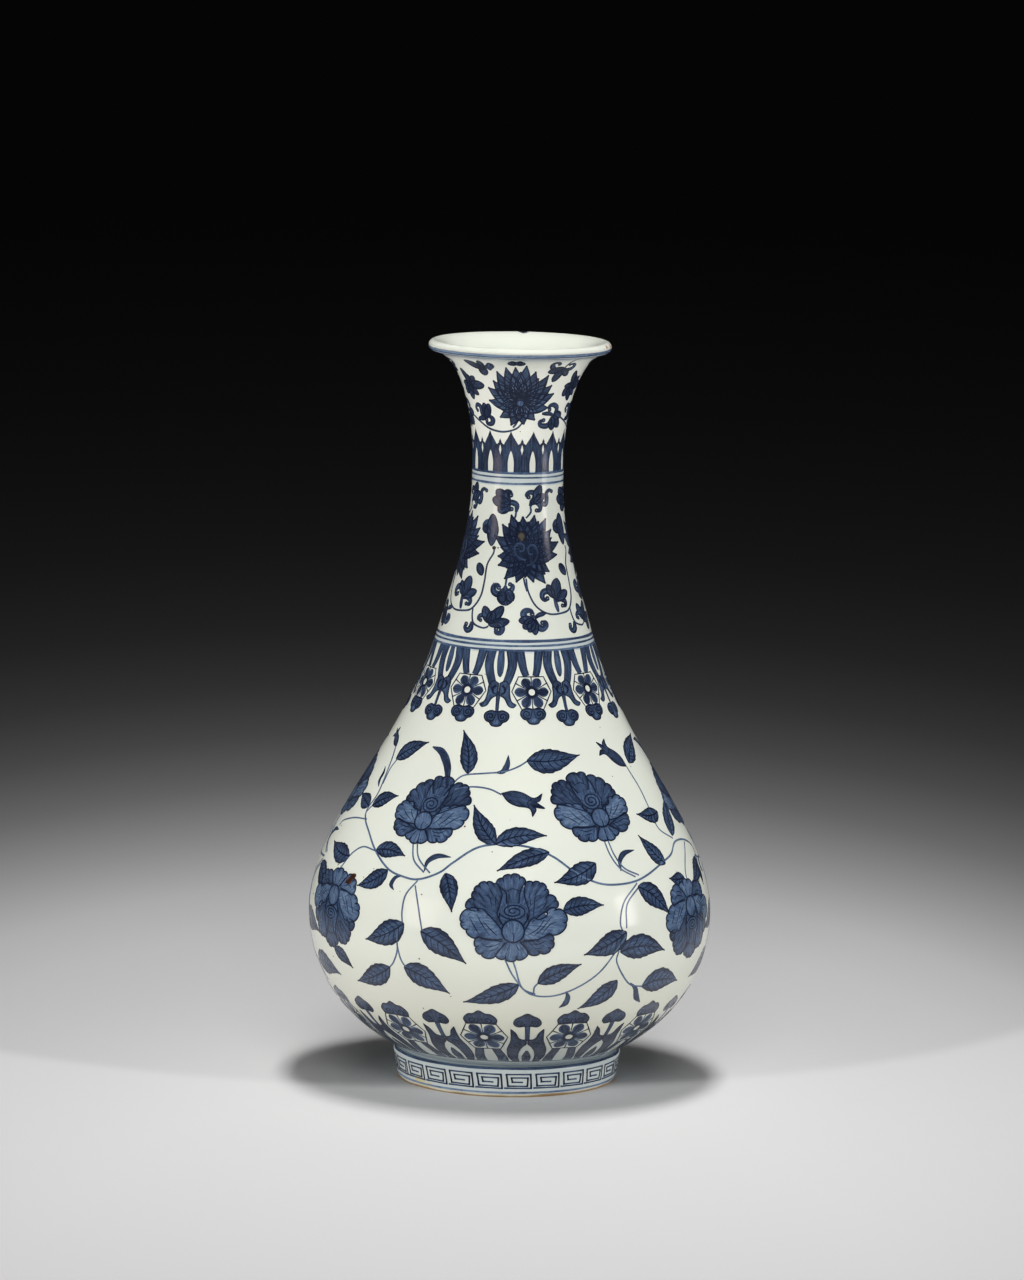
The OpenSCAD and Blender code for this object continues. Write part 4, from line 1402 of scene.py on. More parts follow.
def glaze_material(name, glaze, belts):
    """White glaze with a faint blue-green cast, which drifts with its thickness, with pinholes and flaws."""
    nodes = Nodes(bpy.data.materials.new(name))
    place = nodes.place()
    height = nodes.node("SeparateXYZ", "Z", Vector=place)
    drift = nodes.noise(place, 18.0, 4.0, 0.6)
    fine = nodes.noise(place, 240.0, 3.0)
    tint = nodes.mix(drift, glaze.white, glaze.cool)
    # Belts of colour, among them painted light and painted shade
    for low, soft_start, high, soft_end, share, colour in belts:
        within = nodes.step(height, low - soft_start, low) * nodes.step(high - height, -soft_end, 0.0)
        tint = nodes.mix(within * share, tint, getattr(glaze, colour))
    cells = nodes.node("TexVoronoi", "Distance", Vector=place, Scale=160.0)
    chosen = nodes.step(nodes.noise(place, 33.0, 1.0), 0.56, 0.6)
    pinholes = nodes.step(0.06 - cells, 0.0, 0.02) * chosen
    tint = nodes.mix(pinholes * 0.75, tint, glaze.iron)
    for spot, reach, colour in FLAWS:
        far = nodes.vector("DISTANCE", "Value", place, spot)
        within = nodes.step(reach - far + (fine - 0.5) * FLAW_RAGGED, 0.0, FLAW_SOFT)
        tint = nodes.mix(within, tint, linear(*colour))
    ripple = nodes.node("Bump", Strength=0.06, Distance=0.0004, Height=fine)
    return nodes.surface(Base_Color=tint, Roughness=0.1 + drift * 0.08, IOR=1.5, Normal=ripple)


BURNT_RAGGED = 0.003
BURNT_SOFT = 0.0004
GRIT = linear(96, 62, 38)


def clay_material(name, pale, burnt, burnt_below):
    """Bare fired clay, with grains of sand and a burnt orange edge."""
    nodes = Nodes(bpy.data.materials.new(name))
    place = nodes.place()
    height = nodes.node("SeparateXYZ", "Z", Vector=place)
    grit = nodes.noise(place, 600.0, 4.0, 0.7)
    patches = nodes.noise(place, 60.0, 3.0)
    edge = nodes.step(burnt_below - height + (patches - 0.5) * BURNT_RAGGED, -BURNT_SOFT, BURNT_SOFT)
    colour = nodes.mix(edge * (0.55 + patches * 0.45), pale, burnt)
    colour = nodes.mix(nodes.step(grit, 0.6, 0.75) * 0.35, colour, GRIT)
    bump = nodes.node("Bump", Strength=0.35, Distance=0.0003, Height=grit)
    return nodes.surface(Base_Color=colour, Roughness=0.72 + grit * 0.2, IOR=1.45, Normal=bump)


def iron_material(glaze):
    """Rust-brown iron that has bled up through the glaze, ash grey where a bubble has burst."""
    nodes = Nodes(bpy.data.materials.new("iron_spots"))
    mottle = nodes.noise(nodes.place(), 900.0, 3.0)
    tone = nodes.node("Attribute", "Fac", {"attribute_name": "tone"})
    rusty = nodes.step(mottle, 0.4, 0.65) * nodes.step(tone, 0.6, 0.9)
    colour = nodes.mix(rusty, glaze.iron, glaze.rust)
    colour = nodes.mix(nodes.step(tone, 0.05, 0.3), glaze.ash, colour)
    return nodes.surface(Base_Color=colour, Roughness=0.25 + mottle * 0.2, IOR=1.5)


# Painted light on the floor: share of the floor's colour by distance in metres from a point in front of the
# vase, so that the floor is painted as a pool of light that fades into the dark. Sideways distance counts
# more.
FLOOR_REACH = 5.0
PAINTED_LIGHT_MIDDLE = (-0.02, -0.45, 0.0)
FLOOR_NARROW = (2.6, 1.0, 1.0)
PAINTED_LIGHT_FADE = (
    (0.0, 1.0), (0.45, 1.0), (0.7, 0.94), (0.83, 0.92), (0.94, 0.85), (1.08, 0.62), (1.24, 0.375),
    (1.41, 0.23), (1.59, 0.147), (1.83, 0.095), (2.2, 0.064), (2.64, 0.049), (3.1, 0.038), (3.9, 0.025),
    (4.6, 0.014), (5.0, 0.01),
)

# A large disc of the floor behind the vase is painted darker, as painted shade, and this fades out between
# two depths. The floor round it glows with painted light in place of some of its own colour.
DISC_MIDDLE = (-0.038, 0.295, 0.0)
DISC_RADIUS = 0.323
DISC_SOFT = 0.01
DISC_PAINTED_SHADE = 0.1
DISC_FADE = (0.1, 0.45)
PAINTED_GLOW = 0.15
PAINTED_GLOW_DULL = 0.2


def floor_material(stage):
    """A pale studio floor with a painted pool of light round the vase, which falls away into painted dark far
    from it.
    """
    nodes = Nodes(bpy.data.materials.new("studio_floor"))
    place = nodes.place()
    away = nodes.vector("SUBTRACT", "Vector", place, PAINTED_LIGHT_MIDDLE)
    away = nodes.vector("MULTIPLY", "Vector", away, FLOOR_NARROW)
    distance = nodes.node("VectorMath", "Value", {"operation": "LENGTH"}, Vector=away)
    # Painted light: the floor's colour fades with distance from the vase, as a pool of light
    stops = [(reach / FLOOR_REACH, [share * c for c in stage.floor]) for reach, share in PAINTED_LIGHT_FADE]
    colour = nodes.node("ValToRGB", "Color", {"stops": stops}, Fac=distance / FLOOR_REACH)
    near = 1 - nodes.step(nodes.node("SeparateXYZ", "Y", Vector=place), *DISC_FADE)
    off_middle = nodes.vector("DISTANCE", "Value", place, DISC_MIDDLE)
    disc = nodes.step(DISC_RADIUS - off_middle, -DISC_SOFT, DISC_SOFT)
    # Painted shade on the disc behind the vase, and painted light that glows on the floor round it
    glowing_floor = (1 - disc) * near
    colour = nodes.mix(disc * near * DISC_PAINTED_SHADE + glowing_floor * PAINTED_GLOW_DULL, colour, grey(0.0))
    painted_glow_colour = nodes.mix(glowing_floor, grey(0.0), grey(PAINTED_GLOW))
    weave = nodes.noise(place, 700.0, 3.0)
    bump = nodes.node("Bump", Strength=0.1, Distance=0.0005, Height=weave)
    # The floor's emission is painted light: the floor glows, though it is no lamp
    return nodes.surface(Base_Color=colour, Roughness=0.8 + weave * 0.1, IOR=1.3, Specular_IOR_Level=0.12,
                         Normal=bump, Emission_Color=painted_glow_colour, Emission_Strength=1.0)


# Settings

def colour_setting(name, description, levels):
    """A colour, given as screen levels."""
    return bpy.props.FloatVectorProperty(
        name=name, description=description, subtype="COLOR", size=3, min=0, max=1, default=linear(*levels))


def number_setting(name, description, default, low, high, unit="NONE"):
    return bpy.props.FloatProperty(
        name=name, description=description, default=default, min=low, max=high, unit=unit)


class VaseGlazeSettings(bpy.types.PropertyGroup):
    """Colours of the clay and the glaze, some of them painted light and painted shade on the glaze, and the
    unevenness of the throwing.
    """
    white: colour_setting("White", "Glaze where it is thin", (231, 234, 221))
    # Painted light: a lighter white that is painted on the glaze under the mouth
    thin: colour_setting("Thin white", "Glaze under the mouth", (243, 245, 234))
    bled: colour_setting("Bled blue", "Glaze between painted lines, where cobalt has bled", (150, 172, 190))
    cool: colour_setting("Cool white", "Glaze where it is thick", (219, 225, 215))
    # Painted shade with a cream cast, low on the body
    cream_and_shade: colour_setting("Cream", "Glaze low on the body", (214, 213, 194))
    # Painted shade: a grey that is painted on the glaze low on the vase
    painted_shade: colour_setting("Grey white", "Glaze low on the vase, where it has run thick", (150, 152, 144))
    # Blue of the glaze on the foot, darker in part as painted shade
    blue: colour_setting("Blue", "Glaze on the foot", (174, 190, 201))
    # Pooled glaze in the groove over the foot, also used as painted shade just above the foot
    pool: colour_setting("Pooled glaze", "Glaze that has gathered above the foot", (150, 168, 182))
    iron: colour_setting("Iron", "Dark of the iron specks", (42, 30, 26))
    rust: colour_setting("Rust", "Light of the iron specks", (112, 50, 24))
    ash: colour_setting("Ash", "Burst spot in the glaze", (78, 77, 70))
    clay: colour_setting("Clay", "Bare clay", (212, 206, 184))
    burnt: colour_setting("Burnt clay", "Bare clay at the edge of the foot", (146, 114, 66))
    body: colour_setting("Body", "White clay under the glaze", (236, 231, 220))
    slip: colour_setting("Slip", "Slip in the joints", (222, 212, 194))
    thickness: number_setting("Glaze", "Thickness of the glaze", 0.38 * MM, 0.1 * MM, 0.4 * MM, "LENGTH")
    wobble: number_setting("Wobble", "How far the thrown wall strays", 0.1 * MM, 0.0, 0.3 * MM, "LENGTH")


class VasePaintSettings(bpy.types.PropertyGroup):
    """Colours of the cobalt and the strength of its brush marks."""
    pale: colour_setting("Pale", "A thin wash", (122, 143, 168))
    middle: colour_setting("Middle", "A full wash", (68, 89, 120))
    full: colour_setting("Full", "A heavy wash", (44, 56, 79))
    dark: colour_setting("Dark", "A drawn line", (23, 30, 50))
    streaks: number_setting("Streaks", "Strength of the brush marks", 1.1, 0, 2)


class VaseStageSettings(bpy.types.PropertyGroup):
    """The floor, the camera and the lights."""
    floor: colour_setting("Floor", "Floor near the vase", (249, 249, 250))
    distance: number_setting("Distance", "From the vase's axis to the camera", 3.0, 1, 6, "LENGTH")
    height: number_setting("Height", "Of the camera above the floor", 0.63, 0, 3, "LENGTH")
    aside: number_setting("Aside", "Of the camera to the right", -0.0011, -1, 1, "LENGTH")
    pitch: number_setting("Pitch", "How far the camera looks down", math.radians(8.31), 0, 1.5, "ROTATION")
    roll: number_setting("Roll", "How far the camera leans", math.radians(1.08), -0.2, 0.2, "ROTATION")
    lens: number_setting("Lens", "Focal length on a 36 mm frame", 197.3, 20, 400, "CAMERA")
    floor_key: number_setting("Floor light", "Power of the light above, on the floor", 5.5, 0, 200, "POWER")
    key: number_setting("Top light", "Power of the light above, on the vase", 6.1, 0, 200, "POWER")
    front: number_setting("Front light", "Power of the soft light in front", 14.8, 0, 400, "POWER")
    fill: number_setting("Side lights", "Power of each soft light at a side", 25.2, 0, 400, "POWER")
    low: number_setting("Low light", "Power of the soft light from below", 3.8, 0, 400, "POWER")
    strips: number_setting("Strip lights", "Power of each light seen in the glaze", 1.3, 0, 100, "POWER")
    air: number_setting("Room light", "Strength of the light from all round", 0.04, 0, 2)


def glaze_settings():
    return bpy.context.scene.vase_glaze


def paint_settings():
    return bpy.context.scene.vase_paint


def stage_settings():
    return bpy.context.scene.vase_stage


# Operators

WALLS = {}


def outside():
    """The outside of the vase, which every painted piece lies on."""
    if "outside" not in WALLS:
        WALLS["outside"] = outside_wall(glaze_settings().wobble / MM)
    return WALLS["outside"]


class VASE_OT_clay(bpy.types.Operator):
    """Dress the clay sections, the slip and the bare foot ring"""
    bl_idname = "vase.clay"
    bl_label = "Clay and slip"

    BURNT_BELOW = 0.001

    def execute(self, context):
        glaze = glaze_settings()
        looks = {
            "bare_clay": clay_material("burnt_foot_clay", glaze.clay[:], glaze.burnt[:], self.BURNT_BELOW),
            "porcelain": clay_material("white_body_clay", glaze.body[:], glaze.body[:], 0.0),
            "slip": clay_material("joint_slip", glaze.slip[:], glaze.slip[:], 0.0),
        }
        for part in frame["record"]["subparts"]:
            look = looks.get(part["material_slot"])
            if look:
                mesh = frame["nodes"][part["node"]].data
                mesh.materials.clear()
                mesh.materials.append(look)
        return {"FINISHED"}


class VASE_OT_glaze(bpy.types.Operator):
    """Turn the glaze on the outside and the inside, and dress it with the glaze under the base"""
    bl_idname = "vase.glaze"
    bl_label = "Glaze"

    def execute(self, context):
        glaze = glaze_settings()
        plain = glaze_material("white_glaze", glaze, CREAM_AND_SHADE_BELTS + FOOT_BELTS)
        painted = glaze_material("painted_glaze", glaze, CREAM_AND_SHADE_BELTS + OUTSIDE_BELTS + FOOT_BELTS)
        skins = (
            ("glaze_outside", outside(), painted, "outer_glaze"),
            ("glaze_inside", inside_wall(), plain, "inner_glaze"),
        )
        for name, wall, material, node in skins:
            skin = turned_shell(name, wall, glaze.thickness / MM)
            skin.data.materials.append(material)
            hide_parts(node)
            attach(skin, BODY)
        base = frame["nodes"]["base_glaze"].data
        base.materials.clear()
        base.materials.append(plain)
        return {"FINISHED"}


class PaintStep:
    """What the painting steps share: each paints one piece on the outside and dresses it in cobalt."""
    cobalt = "cobalt_under_glaze"
    gloss = 0.5

    def execute(self, context):
        painting = Painting(outside())
        self.paint(painting, painting.wall)
        material = bpy.data.materials.get(self.cobalt)
        painting.finish(self.piece, material or cobalt_material(self.cobalt, paint_settings(), self.gloss))
        return {"FINISHED"}


class VASE_OT_lines(PaintStep, bpy.types.Operator):
    """Paint the level lines at the lip, the neck, the shoulder and the foot"""
    bl_idname = "vase.lines"
    bl_label = "Level lines"
    piece = "level_lines"

    def paint(self, painting, wall):
        for height, width, tone in LEVEL_LINES:
            painting.ring(wall.run_at(height), width, tone)
        for below, width, tone, rise in LIP_LINES:
            painting.ring(wall.run[-1] - below, width, tone, rise)
        for run, from_groove, width, tone in FOOT_LINES:
            painting.ring(run + (wall.groove if from_groove else 0), width, tone)


def paint_band(painting, count, first, run, *motifs, lean=0.0):
    """Paints motifs right round the vase, each given with the share of a pitch that it stands aside."""
    pitch = 360 / count
    for k in range(count):
        for motif, aside in motifs:
            painting.lay(motif, first + k * pitch + aside * pitch, run, lean=lean)


class VASE_OT_fret(PaintStep, bpy.types.Operator):
    """Paint the key fret on the foot"""
    bl_idname = "vase.fret"
    bl_label = "Key fret"
    piece = "key_fret"

    def paint(self, painting, wall):
        pitch = 360 / FRET_SQUARES
        square = fret(FRET_BREADTH * pitch / wall.degrees(1.0, FRET_MIDDLE), FRET_HEIGHT)
        paint_band(painting, FRET_SQUARES, FRET_FIRST, FRET_FOOT, (square, 0))


class VASE_OT_foot_lappets(PaintStep, bpy.types.Operator):
    """Paint the band of cells and bells above the foot"""
    bl_idname = "vase.foot_lappets"
    bl_label = "Lower lappets"
    piece = "foot_lappets"

    def paint(self, painting, wall):
        motifs = (foot_floret(), 0), (foot_pendant(), 0.5)
        paint_band(painting, FOOT_CELLS, FOOT_FIRST, wall.groove + FOOT_BAND, *motifs, lean=FOOT_LEAN)


class VASE_OT_shoulder_lappets(PaintStep, bpy.types.Operator):
    """Paint the band of cells and tulips that hangs from the lines under the neck"""
    bl_idname = "vase.shoulder_lappets"
    bl_label = "Shoulder lappets"
    piece = "shoulder_lappets"

    def paint(self, painting, wall):
        motifs = (shoulder_floret(), 0), (shoulder_pendant(), 0.5)
        paint_band(painting, SHOULDER_CELLS, SHOULDER_FIRST, wall.run_at(LEVEL_LINES[-1][0]), *motifs)


class VASE_OT_peonies(PaintStep, bpy.types.Operator):
    """Paint the peonies of the scroll"""
    bl_idname = "vase.peonies"
    bl_label = "Peonies"
    piece = "peonies"

    def paint(self, painting, wall):
        flowers = {WIDE: wide_peony(), FAN: fan_peony()}
        for form, angle, height, turn, size, mirror in PEONIES:
            painting.lay(flowers[form], angle, wall.run_at(height), turn, size, mirror)


def repeats(angle):
    """The turns at which something at this angle on the front is painted."""
    turns = [0]
    if REPEAT_RIGHT[0] <= angle < REPEAT_RIGHT[1]:
        turns.append(SCROLL_PERIOD)
    if REPEAT_LEFT[0] < angle <= REPEAT_LEFT[1]:
        turns.append(-SCROLL_PERIOD)
    return turns


def on_wall(wall, path, around=0):
    """A path of angles and heights as angles and runs up the wall, taken round the vase."""
    return [(angle + around, wall.run_at(height)) for angle, height in path]


class VASE_OT_leaves(PaintStep, bpy.types.Operator):
    """Paint the leaves of the peony scroll"""
    bl_idname = "vase.leaves"
    bl_label = "Leaves"
    piece = "scroll_leaves"

    @staticmethod
    def placed(wall, start, end):
        """How a leaf or bud lies: its run, its length and its turn."""
        low, high = wall.run_at(start[1]), wall.run_at(end[1])
        across = (end[0] - start[0]) / wall.degrees(1.0, (low + high) / 2)
        up = high - low
        return low, math.hypot(across, up), math.degrees(math.atan2(up, across)) - 90

    def paint(self, painting, wall):
        for start, end, broad, bend in LEAVES:
            run, length, turn = self.placed(wall, start, end)
            shape = leaf(length, broad * length, -bend, -bend / 2)
            for around in repeats(start[0]):
                painting.lay(shape, start[0] + around, run, turn)
        for start, end in BUDS:
            run, length, turn = self.placed(wall, start, end)
            for around in repeats(start[0]):
                painting.lay(bud(length), start[0] + around, run, turn)
        for path, widths in HOOKS:
            for around in repeats(path[0][0]):
                painting.stem(on_wall(wall, path, around), widths, HOOK_TONE)


class VASE_OT_stems(PaintStep, bpy.types.Operator):
    """Paint the stems of the peony scroll"""
    bl_idname = "vase.stems"
    bl_label = "Stems"
    piece = "scroll_stems"

    def paint(self, painting, wall):
        self.paint_main(painting, wall, MAIN_STEM)
        for path in SIDE_STEMS:
            for around in (0, -SCROLL_PERIOD, SCROLL_PERIOD):
                if around in repeats(path[0][0]):
                    painting.stem(on_wall(wall, path, around), SIDE_STEM_WIDTHS, STEM_TONE)

    @staticmethod
    def paint_main(painting, wall, path):
        """The main stem, of which the back repeats only what lies between its angles."""
        painting.stem(on_wall(wall, path), MAIN_STEM_WIDTHS, STEM_TONE)
        for around, (first, last) in ((-SCROLL_PERIOD, REPEAT_LEFT), (SCROLL_PERIOD, REPEAT_RIGHT)):
            kept = [point for point in path if first <= point[0] <= last]
            painting.stem(on_wall(wall, kept, around), MAIN_STEM_WIDTHS, STEM_TONE)


def lotus_scroll(painting, flower, count, first, flower_run, stems, sprays):
    """Paints a lotus scroll: each flower with the stems and leaves that go with it."""
    groove = painting.wall.groove
    leaves = [(aside, run, spray(crooks, lobes)) for aside, run, crooks, lobes in sprays]
    for k in range(count):
        angle = first + k * 360 / count
        for path in stems:
            route = [(angle + aside, groove + run) for aside, run in path]
            painting.stem(route, LOTUS_STEM_WIDTHS, LOTUS_STEM_TONE)
        for aside, run, shape in leaves:
            painting.lay(shape, angle + aside, groove + run)
        painting.lay(flower, angle, groove + flower_run)


class VASE_OT_neck_lotus(PaintStep, bpy.types.Operator):
    """Paint the lotus scroll on the neck"""
    bl_idname = "vase.neck_lotus"
    bl_label = "Neck lotus"
    piece = "neck_lotus"

    def paint(self, painting, wall):
        places = NECK_FLOWERS, NECK_FIRST, NECK_FLOWER_RUN
        lotus_scroll(painting, spiral_lotus(), *places, NECK_STEMS, NECK_SPRAYS)


class VASE_OT_plantains(PaintStep, bpy.types.Operator):
    """Paint the plantain leaves on the neck under the mouth"""
    bl_idname = "vase.plantains"
    bl_label = "Plantain leaves"
    piece = "plantain_leaves"

    def paint(self, painting, wall):
        foot = wall.run_at(LEVEL_LINES[0][0]) - PLANTAIN_SINK
        motifs = (plantain(*SHORT_PLANTAIN), 0.5), (plantain(*TALL_PLANTAIN), 0)
        paint_band(painting, PLANTAINS, PLANTAIN_FIRST, foot, *motifs)


class VASE_OT_mouth_lotus(PaintStep, bpy.types.Operator):
    """Paint the lotus scroll under the mouth, where the thin glaze reflects less"""
    bl_idname = "vase.mouth_lotus"
    bl_label = "Mouth lotus"
    piece = "mouth_lotus"
    cobalt = "cobalt_under_thin_glaze"
    gloss = 0.2

    def paint(self, painting, wall):
        places = MOUTH_FLOWERS, MOUTH_FIRST, MOUTH_FLOWER_RUN
        lotus_scroll(painting, layered_lotus(), *places, MOUTH_STEMS, MOUTH_SPRAYS)


class VASE_OT_specks(bpy.types.Operator):
    """Scatter small iron spots that have come through the glaze"""
    bl_idname = "vase.specks"
    bl_label = "Iron spots"

    # Specks: how many, their sizes, how far their corners stray, how many corners, and a margin at both ends
    SPECKS = 70
    SIZES = (0.18, 0.42)
    UNEVEN = (0.7, 1.2)
    CORNERS = 8
    MARGIN = 10

    # A rust-brown drop beside the left peony, a burst bubble on the neck's lotus and a dot on its stem
    DROP = ((-3.4, -1.7), (-1.4, 0.3), (0, 2.2), (2.3, 2.6), (2.9, 1.2), (1.7, 0), (0.6, -1.9), (-1.5, -2.6))
    DROP_ANGLE, DROP_HEIGHT = -54.5, 94.5
    BURST = ((-1.6, 0.2), (-1.2, 1.8), (0.6, 2.2), (1.5, 0.6), (1.3, -1.4), (0.2, -2.2), (-1.0, -1.2))
    BURST_BESIDE, BURST_ABOVE = -5, 6
    DOT_BESIDE, DOT_ABOVE = -35, 0.8

    def execute(self, context):
        wall = outside()
        painting = Painting(wall)
        self.scatter(painting, wall)
        drop, burst, dot = Drawing(), Drawing(), Drawing()
        drop.fill(smooth(self.DROP, 0.5, True), FULL + 0.06, DARK, LINE + 0.05, step=0.8)
        burst.fill(smooth(self.BURST, 0.5, True), 0.0, FULL, LINE + 0.12, step=0.8)
        dot.fill(ellipse((0, 0), 0.9, 0.8), FULL, rise=LINE + 0.05)
        flower = wall.groove + NECK_FLOWER_RUN
        painting.lay(drop, self.DROP_ANGLE, wall.run_at(self.DROP_HEIGHT))
        painting.lay(burst, NECK_FIRST + self.BURST_BESIDE, flower + self.BURST_ABOVE)
        painting.lay(dot, NECK_FIRST + self.DOT_BESIDE, flower + self.DOT_ABOVE)
        painting.finish("iron_spots", iron_material(glaze_settings()))
        return {"FINISHED"}

    def scatter(self, painting, wall):
        """Small specks all over the vase."""
        chance = random.Random(7)
        turns = np.linspace(0, 2 * math.pi, self.CORNERS + 1)[:-1]
        for _ in range(self.SPECKS):
            size = chance.uniform(*self.SIZES)
            ring = []
            for t in turns:
                x = size * chance.uniform(*self.UNEVEN) * math.cos(t)
                y = size * chance.uniform(*self.UNEVEN) * math.sin(t)
                ring.append((x, y))
            speck = Drawing()
            speck.fill(ring, DARK, rise=LINE)
            angle = chance.uniform(0, 360)
            painting.lay(speck, angle, chance.uniform(wall.groove + self.MARGIN, wall.run[-1] - self.MARGIN))


# The stage

# Places in metres that the lamps point at, and their colours
VASE_MIDDLE = (0.0, 0.0, 0.16)
VASE_NECK = (0.0, 0.0, 0.28)
BESIDE_FOOT = (0.035, 0.0, 0.0)
WHITE = (1.0, 1.0, 1.0)
WARM = (1.0, 0.99, 0.98)
ROSE = (1.0, 0.8, 0.77)
PINK = (1.0, 0.9, 0.92)

# Lamps: name, place, what it points at, its size, the setting with its power, a share of that, its colour,
# and what it lights, if not everything
LAMPS = (
    ("floor_light", (0.03, -0.07, 0.95), BESIDE_FOOT, (0.12, 0.34), "floor_key", 1.0, WARM, "floor_pieces"),
    ("top_light", (0.035, -0.05, 1.15), BESIDE_FOOT, (0.15, 0.4), "key", 1.0, WARM, "vase_pieces"),
    ("front_light", (0.0, -2.0, 1.8), VASE_MIDDLE, (1.6, 0.8), "front", 1.0, WHITE, None),
    ("left_fill", (-1.9, -1.1, 0.45), VASE_MIDDLE, (0.9, 1.4), "fill", 1.0, WHITE, "vase_pieces"),
    ("low_fill", (-1.2, -1.1, 0.03), VASE_NECK, (1.2, 0.25), "low", 1.0, WHITE, "vase_pieces"),
    ("right_fill", (1.9, -1.1, 0.45), VASE_MIDDLE, (0.9, 1.4), "fill", 1.0, WHITE, "vase_pieces"),
    ("left_strip", (-0.95, -0.8, 0.29), VASE_MIDDLE, (0.42, 0.42), "strips", 1.0, ROSE, "vase_pieces"),
    ("right_strip", (1.15, -0.42, 0.29), VASE_MIDDLE, (0.25, 0.42), "strips", 1.2, PINK, "vase_pieces"),
)

# Radii of the floor's rings in metres, and the sides of each
FLOOR_RINGS = (0.15, 0.3, 0.5, 0.8, 1.3, 2.2, 4.5)
FLOOR_SIDES = 96

# The room as the camera sees it, the width of its frame in mm, and how far it sees in metres
ROOM_DARK = linear(5, 5, 6)
SENSOR_WIDTH = 36.0
CLIP_END = 50.0


def gather(name, pieces):
    """Puts pieces in a collection that some of the lamps are kept to."""
    collection = bpy.data.collections.new(name)
    for piece in pieces:
        collection.objects.link(piece)


def lay_floor(stage):
    """A round floor, with rings that are closer together near the vase."""
    turns = [2 * math.pi * i / FLOOR_SIDES for i in range(FLOOR_SIDES)]
    points = [(0.0, 0.0, 0.0)]
    points += [(radius * math.cos(t), radius * math.sin(t), 0.0) for radius in FLOOR_RINGS for t in turns]
    sides = [(i, (i + 1) % FLOOR_SIDES) for i in range(FLOOR_SIDES)]
    faces = [(0, 1 + i, 1 + j) for i, j in sides]
    for ring in range(len(FLOOR_RINGS) - 1):
        low = 1 + ring * FLOOR_SIDES
        high = low + FLOOR_SIDES
        faces += [(low + i, high + i, high + j, low + j) for i, j in sides]
    floor = add_mesh("studio_floor", points, faces)
    floor.data.materials.append(floor_material(stage))
    return floor


def hang_lamp(scene, name, place, aim, size, power, colour, lit):
    """A soft rectangular lamp. Only a strip is seen in the glaze."""
    lamp = bpy.data.lights.new(name, "AREA")
    lamp.shape = "RECTANGLE"
    lamp.size, lamp.size_y = size
    lamp.energy = power
    lamp.color = colour
    holder = bpy.data.objects.new(name, lamp)
    holder.location = place
    holder.rotation_euler = (Vector(aim) - Vector(place)).to_track_quat("-Z", "Y").to_euler()
    holder.visible_glossy = name.endswith("strip")
    if lit:
        holder.light_linking.receiver_collection = bpy.data.collections[lit]
    scene.collection.objects.link(holder)


def light_room(scene, stage):
    """An even soft light from all round. The camera sees it dark, as a dim room."""
    scene.world = bpy.data.worlds.new("studio")
    nodes = Nodes(scene.world)
    seen = nodes.node("LightPath", "Is Camera Ray")
    colour = nodes.mix(seen, grey(1.0), ROOM_DARK)
    strength = stage.air + (1 - stage.air) * seen
    nodes.end(nodes.node("Background", Color=colour, Strength=strength), "World")


def set_camera(scene, stage):
    camera = bpy.data.cameras.new("camera")
    camera.lens = stage.lens
    camera.sensor_width = SENSOR_WIDTH
    camera.clip_end = CLIP_END
    holder = bpy.data.objects.new("camera", camera)
    holder.matrix_world = (Matrix.Translation((stage.aside, -stage.distance, stage.height))
                           @ Matrix.Rotation(math.pi / 2 - stage.pitch, 4, "X")
                           @ Matrix.Rotation(stage.roll, 4, "Z"))
    scene.collection.objects.link(holder)
    scene.camera = holder


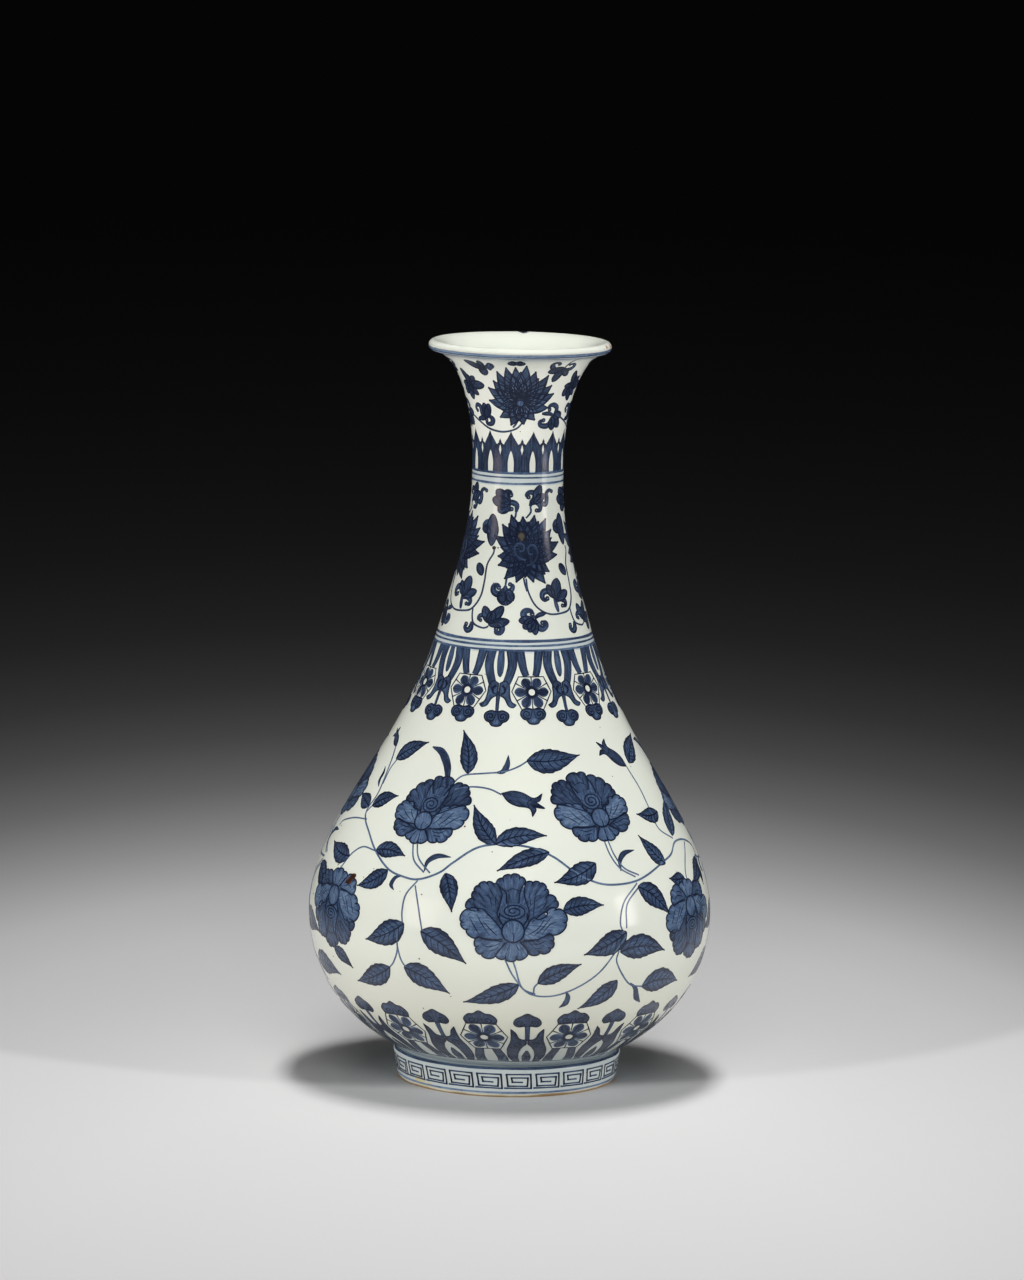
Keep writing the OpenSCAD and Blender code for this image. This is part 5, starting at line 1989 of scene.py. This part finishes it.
class VASE_OT_stage(bpy.types.Operator):
    """Lay the floor and set up the lights and the camera"""
    bl_idname = "vase.stage"
    bl_label = "Stage"

    def execute(self, context):
        stage = stage_settings()
        scene = context.scene
        gather("vase_pieces", [piece for piece in scene.objects if piece.type == "MESH"])
        gather("floor_pieces", [lay_floor(stage)])
        light_room(scene, stage)
        for name, place, aim, size, setting, share, colour, lit in LAMPS:
            hang_lamp(scene, name, place, aim, size, share * getattr(stage, setting), colour, lit)
        set_camera(scene, stage)
        scene.view_settings.view_transform = "Standard"
        return {"FINISHED"}


# Panel and registration

class VASE_PT_panel(bpy.types.Panel):
    """The steps of the vase, in the order in which it is made"""
    bl_idname = "VASE_PT_panel"
    bl_label = "Vase"
    bl_space_type = "VIEW_3D"
    bl_region_type = "UI"
    bl_category = "Vase"

    def draw(self, context):
        column = self.layout.column()
        for settings in (glaze_settings(), paint_settings(), stage_settings()):
            for name in settings.__annotations__:
                column.prop(settings, name)
        for step in STEPS:
            column.operator(step.bl_idname)


STEPS = (
    VASE_OT_clay, VASE_OT_glaze, VASE_OT_lines, VASE_OT_fret, VASE_OT_foot_lappets, VASE_OT_peonies,
    VASE_OT_leaves, VASE_OT_stems, VASE_OT_shoulder_lappets, VASE_OT_neck_lotus, VASE_OT_plantains,
    VASE_OT_mouth_lotus, VASE_OT_specks, VASE_OT_stage,
)
SETTINGS = (VaseGlazeSettings, VasePaintSettings, VaseStageSettings)
CLASSES = (*SETTINGS, *STEPS, VASE_PT_panel)


def register():
    for made in CLASSES:
        bpy.utils.register_class(made)
    bpy.types.Scene.vase_glaze = bpy.props.PointerProperty(type=VaseGlazeSettings)
    bpy.types.Scene.vase_paint = bpy.props.PointerProperty(type=VasePaintSettings)
    bpy.types.Scene.vase_stage = bpy.props.PointerProperty(type=VaseStageSettings)


def unregister():
    del bpy.types.Scene.vase_stage
    del bpy.types.Scene.vase_paint
    del bpy.types.Scene.vase_glaze
    for made in reversed(CLASSES):
        bpy.utils.unregister_class(made)


def main():
    register()
    for step in STEPS:
        space, name = step.bl_idname.split(".")
        getattr(getattr(bpy.ops, space), name)()


if __name__ == "__main__":
    main()
